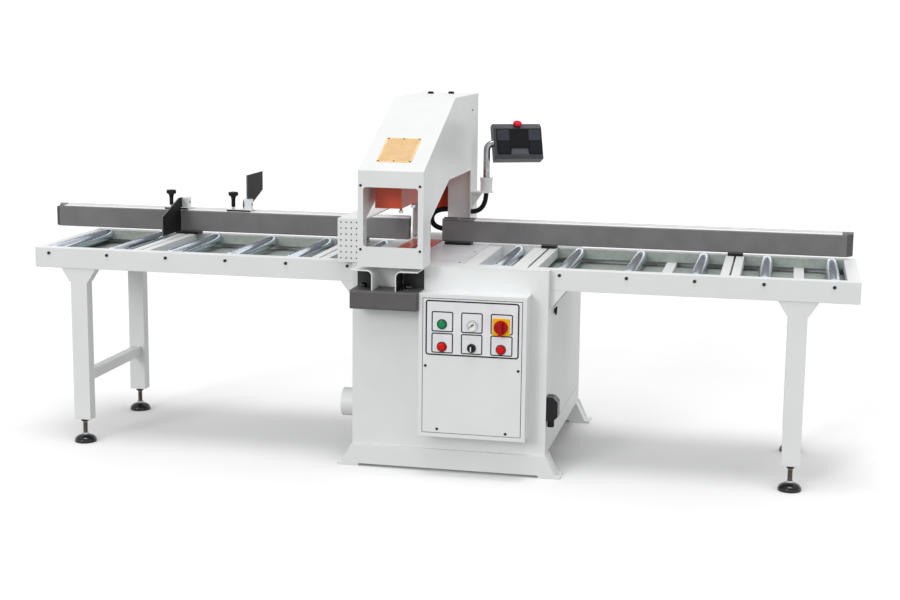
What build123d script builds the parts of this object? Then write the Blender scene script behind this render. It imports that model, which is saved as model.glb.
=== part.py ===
"""Pneumatic up-cut cut-off saw with a hood, roller tables, fences and flip stops, in millimetres.

X runs along the roller tables, Y to the back and Z up. The origin is on the floor, at the centre of the
four anchor holes in the cabinet's foot beams.
"""
from build123d import *
import os
from math import atan2, cos, degrees, hypot, pi, sin

# Clearances
running_gap = 0.3
seam_gap = 2
weld_lap = 1

# Roller tables: sheet rails round an open pan
table_top = 800
table_front = -438
table_depth = 625
rail_height = 80
rail_flange = 48
rail_return = 25
lip_height = 40
table_sheet = 4
tray_sheet = 2
tray_drop = 60
left_end_flange = 32
right_end_flange = 48
slot_bar = 32
slot_gap = 8
slot_bays = (0.5, 3.5)
low_bar_width = 40
low_bar_bays = (2.5, 4.5)
bar_wall = 3

# Rollers on stub axles in the rail lips
roller_radius = 25
roller_wall = 2.5
roller_disc = 4
roller_rise = 4
roller_side_gap = 2
axle_radius = 6
axle_bore = 3.4
rollers_per_side = 6
left_first_gap = 5
left_roller_pitch = 248.5
left_last_gap = 3.5
middle_roller = 162
right_roller_pitch = 251.5
right_last_gap = 21.5

# Legs and levelling feet
left_leg_inset = 183
right_leg_inset = 219
leg_width = 70
leg_depth = 50
leg_wall = 3
leg_inset = 4
leg_bottom = 97
leg_plate = 6
gusset_height = 56
gusset_top_width = 148
gusset_wall = 4
brace_size = 40
brace_height = 250
foot_radius = 44
foot_rim = 8
foot_shoulder_radius = 27
foot_shoulder_height = 18
foot_neck_radius = 13
foot_height = 30
stem_radius = 8
stem_nut_radius = 15
stem_nut_height = 11
bracket_height = 70
bracket_reach = 60
bracket_sheet = 5
bracket_width = 40

# Cabinet
cabinet_width = 760
cabinet_depth = 960
cabinet_bottom = 87
cabinet_sheet = 4
door_front_margin = 135
door_back_margin = 35
door_low_margin = 73
door_high_margin = 80
door_return = 10
latch_inset_y = 29
latch_drop = 18
latch_radius = 10
latch_boss = 4
latch_shaft_radius = 6
latch_wing_length = 34
latch_wing_width = 9
latch_wing_height = 6
latch_wing_turn = 60
latch_tongue = 24
beam_depth = 88
beam_sheet = 5
beam_proud = 8
beam_slope = 36
beam_end_recess = 6
tab_length = 86
tab_thickness = 10
tab_proud = 60
anchor_edge = 14
anchor_radius = 7
dust_inset = 150
dust_rise = 130
dust_radius = 56
dust_wall = 2
dust_reach = 75
dust_flange_radius = 72
dust_flange = 3
inlet_inset = 32
inlet_width = 60
inlet_reach = 44
inlet_rise = 135
inlet_height = 94
inlet_chamfer = 19
inlet_gland_out = 15
gland_radius = 13
gland_length = 26

# Deck over the cabinet
deck_front_strip = 40
plate_gap = 60
plate_back_reach = 63
pan_left_gap = 42
pan_right_gap = 41
insert_width = 128
insert_front = -240
insert_length = 468
insert_thickness = 3
insert_seat = 12
kerf_width = 12
kerf_start = 25
kerf_length = 430

# Hood over the cutting line
hood_inset = 50
hood_width = 252
hood_front_reach = 108
hood_back_inset = 35
hood_clearance = 3
hood_front_height = 365
hood_height = 612
hood_slope_run = 553
hood_sheet = 4
throat_front_inset = 115
throat_front_height = 176
throat_height = 297
throat_slope_run = 331
throat_back_inset = 145
back_opening_height = 200
column_width = 104
column_depth = 115
bridge_height = 366
bridge_thickness = 8
bridge_reach = 100
window_side = 21
window_sill = 80
window_height = 223
window_corner = 11
pane_thickness = 4
pane_margin = 3
side_guard_width = 106
side_guard_inset = 12
side_guard_height = 170
side_guard_fence_gap = 6
guard_hole_radius = 3.4
guard_hole_columns = 5
guard_hole_rows = 7
guard_hole_step_x = 20.5
guard_hole_step_z = 23
guard_hole_edge = 13
guard_hole_drop = 14
vent_width = 134
vent_length = 188
vent_start = 67
vent_inset = 122
vent_sheet = 3
vent_margin = 14
vent_columns = 8
vent_rows = 12
vent_hole = 9

# Clamp guard with its cylinder and guide posts
saw_inset = 84
clamp_width = 104
clamp_front_gap = 18
clamp_back_reach = 40
clamp_lift = 210
clamp_height = 150
clamp_sheet = 3
clamp_nose = 60
ram_y = 60
ram_radius = 10
ram_piston_radius = 19.7
ram_piston_height = 14
ram_end_gap = 4
ram_barrel_radius = 30
ram_barrel_length = 224
ram_cap = 8
post_offset = 38
post_insets = (90, 25)
post_radius = 8
post_flange_radius = 18
post_flange = 10
bushing_radius = 14
bushing_length = 22
press_foot_offset = 32
press_foot_insets = (75, 275)
press_rod_radius = 5
press_pad_radius = 9
press_pad_height = 10
press_foot_drop = 25

# Saw unit on its swinging arm
pivot_inset = 150
pivot_drop = 340
pivot_tube_radius = 35
pivot_shaft_radius = 20
pivot_tube_lead = 18
pivot_tube_length = 264
bearing_width = 20
bearing_height = 70
pivot_beam_size = 60
pivot_beam_drop = 30
spindle_y = -60
blade_radius = 227
blade_rest_gap = 21
blade_thickness = 4
blade_teeth = 40
tooth_depth = 12
tooth_form = ((0, 0), (0.45, 0.12), (0.78, 1))
arbor_radius = 15
arbor_fit = 0.2
flange_radius = 55
flange_width = 12
nut_radius = 26
nut_width = 14
housing_offset = 24
housing_length = 114
housing_radius = 45
arm_offset = 46
arm_width = 70
arm_height = 80
arm_wall = 8
pulley_gap = 10
pulley_width = 36
spindle_pulley_radius = 50
motor_pulley_radius = 60
belt_thickness = 6
motor_lead = 80
motor_drop = 130
motor_radius = 80
motor_length = 215
motor_cap = 12
motor_cap_radius = 66
motor_plate_gap = 12
motor_plate = 8
motor_plate_margin = 10
motor_shaft_radius = 14
motor_shaft_depth = 38
terminal_box = 70
terminal_box_start = 40
terminal_box_drop = 24

# Lift cylinder under the arm
lift_y = -20
lift_pin_drop = 92
lift_pin_radius = 7
lift_eye_hole = 12
lift_eye_radius = 18
lift_eye_width = 20
lift_barrel_radius = 28
lift_bore_radius = 20
lift_barrel_rise = 22
lift_rod_showing = 88
lift_cap = 8
lift_rod_radius = 9
lift_piston_height = 16
lift_piston_gap = 8
lift_ear = 10
lift_ear_rise = 25
lift_beam_rise = 3
lift_beam_height = 35
lift_beam_depth = 80

# Fences
fence_inset = 63
fence_thickness = 35
fence_foot_height = 12
fence_height = 88
fence_wall = 4
fence_corner = 5
left_fence_overhang = 173
left_fence_in_hood = 27
right_fence_in_hood = 83
right_fence_gap = 14
fence_cap = 14
fence_cap_taper = 15
fence_strip_width = 29
fence_strip = 3
fence_cover_length = 133
fence_cover = 5
fence_foot_depth = 60
fence_foot_proud = 12
plate_foot_offset = 68
plate_foot_length = 110
left_foot_length = 100
right_foot_length = 60

# Flip stops on the left fence
stop_plate = 5
stop_pivot_setback = 23
stop_pivot_rise = 31
stop_pin_radius = 6
stop_reach = 210
stop_floor_gap = 14
stop_nose_height = 81
stop_shoulder_lead = 24
stop_heel_radius = 21
stop_fence_gap = 6
stop_block_width = 30
stop_block_depth = 32
stop_block_rise = 21
stop_base_length = 106
stop_base_width = 38
stop_base_height = 8
knob_radius = 22
knob_height = 16
knob_lobes = 6
knob_lobe_radius = 5
knob_lobe_centre = 23
knob_hub_radius = 11
knob_hub = 6
knob_stem_radius = 5
knob_stem_length = 65
knob_inset = 24
stop_1_inset = 406
stop_2_inset = 687

# Two-hand console
console_lead = 29
console_width = 262
console_reach = 123
console_drop = 86
console_height = 71
console_sheet = 3
console_corner = 8
console_roof_width = 87
console_roof_drop = 12
console_roof_reach = 112
console_roof_bend = 22
console_roof_sheet = 4
start_left_inset = 38
start_right_inset = 51
start_button_reach = 55
start_button_radius = 15
start_button_height = 13
start_button_travel = 5
start_stem_radius = 10
start_collar_radius = 18
start_collar = 3
button_crown = ((0, 9), (2, 4), (7, 0))

# Control box
box_seam = 1
box_width = 412
box_reach = 98
box_drop = 89
box_low_margin = 74
box_sheet = 3
box_rim = 16
box_ledge = 12
cover_gap = 2
control_column_insets = (91, 205, 316)
control_row_drops = (114, 200)
push_radius = 14
push_height = 10
push_length = 24
push_chamfer = 2
bezel_radius = 17
shaft_radius = 11
bezel_height = 5
gauge_radius = 21
gauge_height = 9
gauge_rim = 2.5
needle_length = 13
needle_width = 1.6
needle_thickness = 1
needle_rest_turn = -130
selector_radius = 14
selector_height = 8
selector_grip = 9
selector_grip_length = 22
switch_radius = 26
switch_height = 9
switch_grip = 14
switch_grip_height = 18
switch_grip_low = 32
switch_grip_high = 21
switch_plate = 64
switch_plate_thickness = 4

# Pendant on the hood's right wall
pendant_offset = 64
pendant_inset = 127
pendant_socket_radius = 25
pendant_socket_height = 205
pendant_socket_length = 59
pendant_socket_floor = 4
pendant_collar_radius = 27
pendant_collar = 14
pendant_pipe_radius = 14
pendant_pipe_wall = 2
pendant_pipe_bend = 27
pendant_pipe_rise = 202
pendant_pipe_entry = 26
pendant_turn = 24
pendant_tilt = 22
pendant_box_gap = 28
pendant_box_width = 208
pendant_box_lead = 34
pendant_box_depth = 70
pendant_box_below = 74
pendant_box_height = 160
pendant_band = 32
pendant_band_angle = 45
pendant_low_bevel = 16
pendant_side_bevel = 12
pendant_pad_recess = 3
pendant_pad_margin = 8
pendant_pad_width = 48
pendant_pad_shelf = 40
pendant_plate = 5
pendant_bracket_width = 60
pendant_bracket_drop = 70
stop_button_radius = 19
stop_button_height = 14
stop_button_travel = 5
stop_stem_radius = 11
stop_stem_length = 16
stop_stem_rise = 8

# Hoses and glands
conduit_radius = 10.5
conduit_drop = 88
conduit_bend = 55
air_hose_radius = 11
air_hose_reach = 82
air_hose_inset = 60
air_hose_high = 116
air_hose_low = 28
air_hose_bend = 42
hood_gland_insets = ((74, 140), (155, 105))
hood_gland_height = 9

# Heights and edges worked out from the driving dimensions: tables and cabinet
table_back = table_front + table_depth
table_bottom = table_top - rail_height
lip_bottom = table_top - lip_height
front_lip = table_front + rail_flange
back_lip = table_back - rail_flange
tray_top = table_top - tray_drop
axle_z = table_top + roller_rise - roller_radius
cabinet_side = cabinet_width / 2
cabinet_back = cabinet_depth / 2
cabinet_front = -cabinet_back
deck_bottom = table_top - cabinet_sheet
left_inner = -cabinet_side - seam_gap
left_first = left_inner - left_first_gap - roller_radius
left_rollers = [left_first - left_roller_pitch * i for i in range(rollers_per_side)]
right_rollers = [middle_roller + right_roller_pitch * i for i in range(rollers_per_side)]
left_slots = [left_first - left_roller_pitch * bay for bay in slot_bays]
right_slots = [middle_roller + right_roller_pitch * bay for bay in slot_bays]
right_low_bars = [middle_roller + right_roller_pitch * bay for bay in low_bar_bays]
right_inner = right_slots[0] + slot_gap / 2
left_end = left_rollers[-1] - roller_radius - left_last_gap - left_end_flange
right_end = right_rollers[-1] + roller_radius + right_last_gap + right_end_flange
left_leg_x = left_end + left_leg_inset
right_leg_x = right_end - right_leg_inset
door_front = cabinet_front + door_front_margin
door_back = cabinet_back - door_back_margin
door_bottom = cabinet_bottom + door_low_margin
door_top = table_bottom - door_high_margin
tab_reach = cabinet_side + tab_proud
anchor_x = tab_reach - anchor_edge
anchor_y = cabinet_back + beam_proud - beam_depth / 2
dust_y = cabinet_front + dust_inset
dust_z = cabinet_bottom + dust_rise
inlet_y = cabinet_front + inlet_inset
inlet_bottom = cabinet_bottom + inlet_rise
inlet_top = inlet_bottom + inlet_height
pan_left = middle_roller - roller_radius - pan_left_gap
pan_right = middle_roller + roller_radius + pan_right_gap
plate_right = pan_left - plate_gap
plate_back = table_back + plate_back_reach
insert_back = insert_front + insert_length
kerf_front = insert_front + kerf_start
kerf_back = kerf_front + kerf_length

# Fences and stops
fence_front = table_back - fence_inset
fence_back = fence_front + fence_thickness
fence_bottom = table_top + fence_foot_height
fence_top = fence_bottom + fence_height
strip_top = fence_top + fence_strip
fence_foot_front = fence_front - fence_foot_proud
stop_pivot_y = fence_front + stop_pivot_setback
stop_pivot_z = strip_top + stop_pivot_rise
stop_reach_front = fence_front - stop_reach
stop_bottom = table_top + stop_floor_gap
stop_nose_top = stop_bottom + stop_nose_height
stop_shoulder = fence_front - stop_shoulder_lead
stop_back = fence_front - stop_fence_gap
stop_block_top = stop_pivot_z + stop_block_rise
stop_1_block_x = left_end + stop_1_inset
stop_2_block_x = left_end + stop_2_inset

# Hood and clamp
hood_left = -cabinet_side + hood_inset
hood_right = hood_left + hood_width
hood_front = cabinet_front - hood_front_reach
hood_back = cabinet_back - hood_back_inset
hood_bottom = table_top + hood_clearance
hood_front_top = table_top + hood_front_height
hood_top = table_top + hood_height
hood_slope_back = hood_front + hood_slope_run
hood_angle = atan2(hood_top - hood_front_top, hood_slope_run)
throat_front = hood_front + throat_front_inset
throat_front_top = table_top + throat_front_height
throat_top = table_top + throat_height
throat_slope_back = throat_front + throat_slope_run
throat_back = hood_back - throat_back_inset
bridge_bottom = table_top + bridge_height
bridge_top = bridge_bottom + bridge_thickness
bridge_front = ram_y - bridge_reach
window_bottom = table_top + window_sill
window_top = window_bottom + window_height
side_guard_top = table_top + side_guard_height
side_guard_back = fence_front - side_guard_fence_gap
vent_centre_x = hood_left + vent_inset
saw_x = hood_left + saw_inset
clamp_left = saw_x - clamp_width / 2
clamp_right = saw_x + clamp_width / 2
clamp_front = throat_front + clamp_front_gap
clamp_back = throat_back + clamp_back_reach
clamp_bottom = table_top + clamp_lift
clamp_top = clamp_bottom + clamp_height
ram_barrel_top = bridge_top + ram_barrel_length
post_x = saw_x - post_offset
post_ys = [clamp_back - inset for inset in post_insets]
press_foot_x = saw_x + press_foot_offset
press_foot_ys = [clamp_front + inset for inset in press_foot_insets]
left_fence_outer = left_end - left_fence_overhang
left_fence_inner = hood_left + left_fence_in_hood
right_fence_inner = hood_right - right_fence_in_hood
right_fence_outer = right_end - right_fence_gap
plate_foot_x = right_fence_inner + plate_foot_offset

# Saw unit and lift
pivot_y = cabinet_back - pivot_inset
pivot_z = table_top - pivot_drop
pivot_tube_left = saw_x - pivot_tube_lead
pivot_tube_right = pivot_tube_left + pivot_tube_length
pivot_beam_z = pivot_z - pivot_beam_drop
spindle_z = table_top - blade_radius - blade_rest_gap
housing_left = saw_x + housing_offset
housing_right = housing_left + housing_length
arm_left = saw_x + arm_offset
arm_right = arm_left + arm_width
pulley_left = housing_right + pulley_gap
motor_plate_left = pulley_left + pulley_width + motor_plate_gap
motor_y = pivot_y - motor_lead
motor_z = pivot_z - motor_drop
lift_x = (arm_left + arm_right) / 2
lift_beam_bottom = cabinet_bottom + lift_beam_rise
lift_base_z = lift_beam_bottom + lift_beam_height + lift_ear_rise
lift_pin_z = spindle_z - lift_pin_drop
lift_barrel_bottom = lift_base_z + lift_barrel_rise
lift_barrel_top = lift_pin_z - lift_rod_showing
lift_piston_start = lift_barrel_bottom + lift_cap + lift_piston_gap

# Console, control box and pendant
console_left = hood_left - console_lead
console_right = console_left + console_width
console_front = cabinet_front - console_reach
console_top = table_top - console_drop
console_bottom = console_top - console_height
console_roof_top = hood_bottom - console_roof_drop
console_roof_front = cabinet_front - console_roof_reach
start_button_y = cabinet_front - start_button_reach
box_left = console_right + box_seam
box_right = box_left + box_width
box_front = cabinet_front - box_reach
box_top = table_top - box_drop
box_bottom = cabinet_bottom + box_low_margin
control_columns = [box_left + inset for inset in control_column_insets]
control_rows = [box_top - drop for drop in control_row_drops]
pendant_x = hood_right + pendant_offset
pendant_y = hood_back - pendant_inset
pendant_socket_bottom = table_top + pendant_socket_height
pendant_socket_top = pendant_socket_bottom + pendant_socket_length
pendant_pipe_z = pendant_socket_bottom + pendant_pipe_rise
pendant_box_left = pendant_x + pendant_box_gap
pendant_box_front = pendant_y - pendant_box_lead
pendant_box_bottom = pendant_pipe_z - pendant_box_below
conduit_end_z = pendant_socket_bottom - conduit_drop
air_hose_y = hood_back - air_hose_inset
air_hose_top = table_top + air_hose_high
air_hose_bottom = table_top + air_hose_low
hood_gland_places = [(hood_left + x, hood_back - y) for x, y in hood_gland_insets]

pieces = {}


def block(x, y, z):
    """A box between three (low, high) pairs."""
    size = Box(x[1] - x[0], y[1] - y[0], z[1] - z[0])
    return Pos((x[0] + x[1]) / 2, (y[0] + y[1]) / 2, (z[0] + z[1]) / 2) * size


def rod(axis, span, at, radius):
    """A cylinder along one axis over a (low, high) span, at the other two coordinates."""
    length = span[1] - span[0]
    middle = (span[0] + span[1]) / 2
    if axis == "X":
        return Pos(middle, at[0], at[1]) * Rot(0, 90, 0) * Cylinder(radius, length)
    if axis == "Y":
        return Pos(at[0], middle, at[1]) * Rot(90, 0, 0) * Cylinder(radius, length)
    return Pos(at[0], at[1], middle) * Cylinder(radius, length)


def tube(axis, span, at, radius, bore):
    """A round tube, as rod with a bore."""
    return rod(axis, span, at, radius) - rod(axis, span, at, bore)


def prism_x(points, span):
    """A (y, z) outline drawn out along X."""
    face = Plane.YZ.offset(span[0]) * Polygon(*points, align=None)
    return extrude(face, span[1] - span[0], dir=(1, 0, 0))


def prism_y(points, span):
    """An (x, z) outline drawn out along Y."""
    face = Plane.XZ.offset(-span[0]) * Polygon(*points, align=None)
    return extrude(face, span[1] - span[0], dir=(0, 1, 0))


def box_tube(x, y, z, wall, open_axis):
    """A rectangular tube, open along one axis."""
    inner = []
    for name, span in zip("XYZ", (x, y, z)):
        inner.append(span if name == open_axis else (span[0] + wall, span[1] - wall))
    return block(x, y, z) - block(*inner)


def mirrored_y(solids):
    """Copies on the other side of the part's middle plane."""
    return [mirror(solid, about=Plane.XZ) for solid in solids]


# Roller tables
def rail(outer, inward, span, axles):
    """A folded rail: web, top flange with its lip, and a bottom return, with the axle holes in the lip."""
    lip = outer + inward * rail_flange
    skin = inward * table_sheet
    points = [
        (outer, table_bottom),
        (outer, table_top),
        (lip, table_top),
        (lip, lip_bottom),
        (lip - skin, lip_bottom),
        (lip - skin, table_top - table_sheet),
        (outer + skin, table_top - table_sheet),
        (outer + skin, table_bottom + table_sheet),
        (outer + inward * rail_return, table_bottom + table_sheet),
        (outer + inward * rail_return, table_bottom),
    ]
    body = prism_x(points, span)
    low, high = sorted((lip - 2 * skin, lip + skin))
    for x in axles:
        body -= rod("Y", (low, high), (x, axle_z), axle_radius + running_gap)
    return body


def end_flange(outer, inward, width):
    """The table's outer end: a closing plate, and a flange with its lip between the rails."""
    skin = inward * table_sheet
    lip = outer + inward * width
    plate = block(sorted((outer, outer + skin)), (table_front, table_back), (table_bottom, table_top))
    points = [
        (outer + skin, table_top),
        (lip, table_top),
        (lip, lip_bottom),
        (lip - skin, lip_bottom),
        (lip - skin, table_top - table_sheet),
        (outer + skin, table_top - table_sheet),
    ]
    return [plate, prism_y(points, (front_lip, back_lip))]


def slot_bars(centre, sides):
    """The bars beside one fence slot, between the rail lips."""
    bars = []
    for side in sides:
        edges = sorted((centre + side * slot_gap / 2, centre + side * (slot_gap / 2 + slot_bar)))
        bars.append(box_tube(edges, (front_lip, back_lip), (lip_bottom, table_top), bar_wall, "Y"))
    return bars


def low_bars(centres):
    """Cross bars that stiffen the tray, under the rail lips."""
    bars = []
    for x in centres:
        edges = (x - low_bar_width / 2, x + low_bar_width / 2)
        inside = (table_front + table_sheet, table_back - table_sheet)
        bars.append(box_tube(edges, inside, (tray_top, lip_bottom), bar_wall, "Y"))
    return bars


def cabinet_brackets(wall, outward):
    """Gusseted brackets that carry the inner end of a table on the cabinet's side."""
    top = table_bottom
    foot = wall + outward * bracket_sheet
    brackets = []
    for outer, inward in ((table_front, 1), (table_back, -1)):
        across = sorted((outer, outer + inward * bracket_width))
        web = sorted((outer, outer + inward * bracket_sheet))
        flange = block(sorted((wall, foot)), across, (top - bracket_height, top))
        points = [(foot, top), (foot, top - bracket_height), (wall + outward * bracket_reach, top)]
        brackets.append(flange + prism_y(points, web))
    return brackets


def table_frame(span, axles, slots, bars):
    """Rails, tray and bars of one table over an X span."""
    between_webs = (table_front + table_sheet, table_back - table_sheet)
    frame = [
        rail(table_front, 1, span, axles),
        rail(table_back, -1, span, axles),
        block(span, between_webs, (tray_top - tray_sheet, tray_top)),
    ]
    for centre, sides in slots:
        frame += slot_bars(centre, sides)
    return frame + low_bars(bars)


left_span = (left_end + table_sheet, left_inner - table_sheet)
left_slot_sides = [(x, (-1, 1)) for x in left_slots]
left_table = table_frame(left_span, left_rollers, left_slot_sides, [])
left_table += end_flange(left_end, 1, left_end_flange)
left_table.append(block(
    (left_inner - table_sheet, left_inner), (table_front, table_back), (table_bottom, table_top)
))
left_table += cabinet_brackets(-cabinet_side, -1)
pieces["left_table_frame"] = left_table

right_span = (right_inner, right_end - table_sheet)
right_slot_sides = [(right_slots[0], (1,)), (right_slots[1], (-1, 1))]
right_table = table_frame(right_span, right_rollers[1:], right_slot_sides, right_low_bars)
right_table += end_flange(right_end, -1, right_end_flange)
right_table += cabinet_brackets(cabinet_side, 1)
pieces["right_table_frame"] = right_table


# Rollers
def roller(x):
    """A steel tube closed by discs, with bored stub axles, turned about its own axis."""
    low = front_lip + roller_side_gap
    high = back_lip - roller_side_gap
    axle_low = table_front + table_sheet + roller_side_gap
    axle_high = table_back - table_sheet - roller_side_gap
    inner = roller_radius - roller_wall
    points = [
        (axle_bore, axle_low), (axle_radius, axle_low), (axle_radius, low), (roller_radius, low),
        (roller_radius, high), (axle_radius, high), (axle_radius, axle_high), (axle_bore, axle_high),
        (axle_bore, high - roller_disc), (inner, high - roller_disc),
        (inner, low + roller_disc), (axle_bore, low + roller_disc),
    ]
    turned = revolve(Polygon(*points, align=None), Axis.Y)
    return Pos(x, 0, axle_z) * turned


for number, x in enumerate(left_rollers, 1):
    pieces[f"roller_left_{number}"] = [roller(x)]
for number, x in enumerate(right_rollers, 1):
    pieces[f"roller_right_{number}"] = [roller(x)]


# Leg frames and levelling feet
def leg_places(x):
    """The (x, y) centres of the front and back leg of one frame."""
    return [(x, table_front + leg_inset + leg_depth / 2), (x, table_back - leg_inset - leg_depth / 2)]


def gusset(x, y):
    """The flared sheet collar at a leg's top."""
    high = table_bottom
    low = table_bottom - gusset_height
    outer_low = leg_width / 2 + gusset_wall
    outer_high = gusset_top_width / 2
    depth = leg_depth / 2
    shell = prism_y(
        [(x - outer_high, high), (x + outer_high, high), (x + outer_low, low), (x - outer_low, low)],
        (y - depth, y + depth),
    )
    space = prism_y(
        [
            (x - outer_high + gusset_wall, high), (x + outer_high - gusset_wall, high),
            (x + outer_low - gusset_wall, low), (x - outer_low + gusset_wall, low),
        ],
        (y - depth + gusset_wall, y + depth - gusset_wall),
    )
    return shell - space


def leg_frame(x):
    """Two legs with their gussets and foot plates, and the brace between them."""
    solids = []
    for leg_x, y in leg_places(x):
        across = (leg_x - leg_width / 2, leg_x + leg_width / 2)
        deep = (y - leg_depth / 2, y + leg_depth / 2)
        upright = (leg_bottom + leg_plate, table_bottom - gusset_height)
        solids.append(box_tube(across, deep, upright, leg_wall, "Z"))
        solids.append(gusset(leg_x, y))
        plate = block(across, deep, (leg_bottom, leg_bottom + leg_plate))
        plate -= rod("Z", (leg_bottom, leg_bottom + leg_plate), (leg_x, y), stem_radius + running_gap)
        solids.append(plate)
    front, back = (y for _, y in leg_places(x))
    inside = (front + leg_depth / 2, back - leg_depth / 2)
    brace = (brace_height, brace_height + brace_size)
    solids.append(box_tube((x - brace_size / 2, x + brace_size / 2), inside, brace, leg_wall, "Y"))
    return solids


def levelling_foot(x, y):
    """A stepped pad turned with its stem, and the lock nut under the leg plate."""
    stem_top = leg_bottom + leg_plate + stem_nut_height
    half = Polygon(
        (0, 0), (foot_radius, 0), (foot_radius, foot_rim), (foot_shoulder_radius, foot_shoulder_height),
        (foot_neck_radius, foot_height), (stem_radius, foot_height), (stem_radius, stem_top), (0, stem_top),
        align=None,
    )
    turned = revolve(Plane.XZ * half, Axis.Z)
    hexagon = RegularPolygon(stem_nut_radius, 6)
    nut = extrude(Plane.XY.offset(leg_bottom - stem_nut_height) * hexagon, stem_nut_height)
    return Pos(x, y, 0) * (turned + nut)


pieces["leg_frames"] = leg_frame(left_leg_x) + leg_frame(right_leg_x)
pieces["levelling_feet"] = [
    levelling_foot(x, y) for leg_x in (left_leg_x, right_leg_x) for x, y in leg_places(leg_x)
]


# Cabinet
def foot_beam():
    """The front foot beam: a sloped channel with recessed ends, and a floor tab at each end."""
    front = cabinet_front - beam_proud
    back = front + beam_depth
    top_half = cabinet_side + beam_proud / 2
    low_half = top_half + beam_slope

    def outline(inset, drop, low):
        return [
            (-low_half + inset, low), (-top_half + inset, cabinet_bottom - drop),
            (top_half - inset, cabinet_bottom - drop), (low_half - inset, low),
        ]

    beam = prism_y(outline(0, 0, tab_thickness), (front, back))
    web = (front + beam_sheet, back - beam_sheet)
    beam -= prism_y(outline(beam_end_recess + beam_sheet, beam_sheet, tab_thickness), web)
    skirt = prism_y(outline(0, 0, tab_thickness), web)
    beam -= skirt - prism_y(outline(beam_end_recess, 0, tab_thickness), web)
    for side in (-1, 1):
        inner = side * (tab_reach - tab_length)
        beam += block(sorted((inner, side * tab_reach)), (front, back), (0, tab_thickness))
        beam -= rod("Z", (0, tab_thickness), (side * anchor_x, -anchor_y), anchor_radius)
    return beam


def right_wall():
    """The strips that frame the door opening, close at its hinge edge, and the fillers beside the table."""
    x = (cabinet_side - cabinet_sheet, cabinet_side)
    front = cabinet_front + cabinet_sheet
    back = cabinet_back - cabinet_sheet
    opening_front = door_front - seam_gap
    opening_back = door_back + running_gap
    opening_bottom = door_bottom - seam_gap
    opening_top = door_top + seam_gap
    return [
        block(x, (front, opening_front), (cabinet_bottom, table_bottom)),
        block(x, (opening_back, back), (cabinet_bottom, table_bottom)),
        block(x, (opening_front, opening_back), (cabinet_bottom, opening_bottom)),
        block(x, (opening_front, opening_back), (opening_top, table_bottom)),
        block(x, (front, table_front - seam_gap), (table_bottom, deck_bottom)),
        block(x, (table_back + seam_gap, back), (table_bottom, deck_bottom)),
    ]


def console_roof(edge, outward):
    """A bent sheet over one start button: a roof, a bend and a standing side."""
    top = console_roof_top
    free = edge + outward * console_roof_width
    sheet = console_roof_sheet
    bend = console_roof_bend
    with BuildSketch(Plane.XZ.offset(-cabinet_front)) as section:
        with BuildLine():
            Polyline((free, top - sheet), (free, top), (edge + outward * bend, top))
            RadiusArc((edge + outward * bend, top), (edge, top - bend), -outward * bend)
            Polyline(
                (edge, top - bend), (edge, console_top), (edge + outward * sheet, console_top),
                (edge + outward * sheet, top - bend),
            )
            RadiusArc(
                (edge + outward * sheet, top - bend), (edge + outward * bend, top - sheet),
                outward * (bend - sheet),
            )
            Line((edge + outward * bend, top - sheet), (free, top - sheet))
        make_face()
    return extrude(section.sketch, cabinet_front - console_roof_front, dir=(0, -1, 0))


def pivot_support():
    """The cross beam behind the arm, with the two bearing blocks of its pivot."""
    inside = (-cabinet_side + cabinet_sheet, cabinet_side - cabinet_sheet - 2 * door_return)
    beam_back = cabinet_back - cabinet_sheet
    beam_y = (beam_back - pivot_beam_size, beam_back)
    beam = box_tube(inside, beam_y, (pivot_beam_z, pivot_beam_z + pivot_beam_size), bar_wall, "X")
    for start in (pivot_tube_left - running_gap - bearing_width, pivot_tube_right + running_gap):
        span = (start, start + bearing_width)
        half = bearing_height / 2
        body = block(span, (pivot_y, beam_y[0]), (pivot_z - half, pivot_z + half))
        body += rod("X", span, (pivot_y, pivot_z), half)
        beam += body - rod("X", span, (pivot_y, pivot_z), pivot_shaft_radius + running_gap)
    return beam


def lift_support():
    """The low cross beam with the clevis and pin that carry the lift cylinder."""
    inside = (-cabinet_side + cabinet_sheet, cabinet_side - cabinet_sheet)
    half = lift_beam_depth / 2
    beam_z = (lift_beam_bottom, lift_beam_bottom + lift_beam_height)
    beam = box_tube(inside, (lift_y - half, lift_y + half), beam_z, bar_wall, "X")
    eye = lift_eye_radius
    gap = lift_eye_width / 2 + 2 * running_gap
    for side in (-1, 1):
        span = sorted((lift_x + side * gap, lift_x + side * (gap + lift_ear)))
        ear = block(span, (lift_y - eye, lift_y + eye), (beam_z[1], lift_base_z))
        beam += ear + rod("X", span, (lift_y, lift_base_z), eye)
    pin = (lift_x - gap - lift_ear, lift_x + gap + lift_ear)
    return beam + rod("X", pin, (lift_y, lift_base_z), lift_pin_radius)


wall_y = (cabinet_front + cabinet_sheet, cabinet_back - cabinet_sheet)
full_width = (-cabinet_side, cabinet_side)
wall_z = (cabinet_bottom, deck_bottom)
left_sheet = (-cabinet_side, -cabinet_side + cabinet_sheet)
dust_at = (dust_y, dust_z)
dust_bore = dust_radius - dust_wall
left_wall = block(left_sheet, wall_y, wall_z) - rod("X", left_sheet, dust_at, dust_bore)
dust_outlet = tube("X", (-cabinet_side - dust_reach, -cabinet_side), dust_at, dust_radius, dust_bore)
dust_outlet += tube("X", (-cabinet_side - dust_flange, -cabinet_side), dust_at, dust_flange_radius, dust_bore)
roof_edges = (console_left + console_roof_width, console_right - console_roof_width)
cabinet = [
    block(full_width, (cabinet_front, wall_y[0]), wall_z),
    block(full_width, (wall_y[1], cabinet_back), wall_z),
    left_wall,
    foot_beam(),
    dust_outlet,
    console_roof(roof_edges[0], -1),
    console_roof(roof_edges[1], 1),
    pivot_support(),
    lift_support(),
]
cabinet += right_wall()
cabinet += mirrored_y([foot_beam()])
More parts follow.
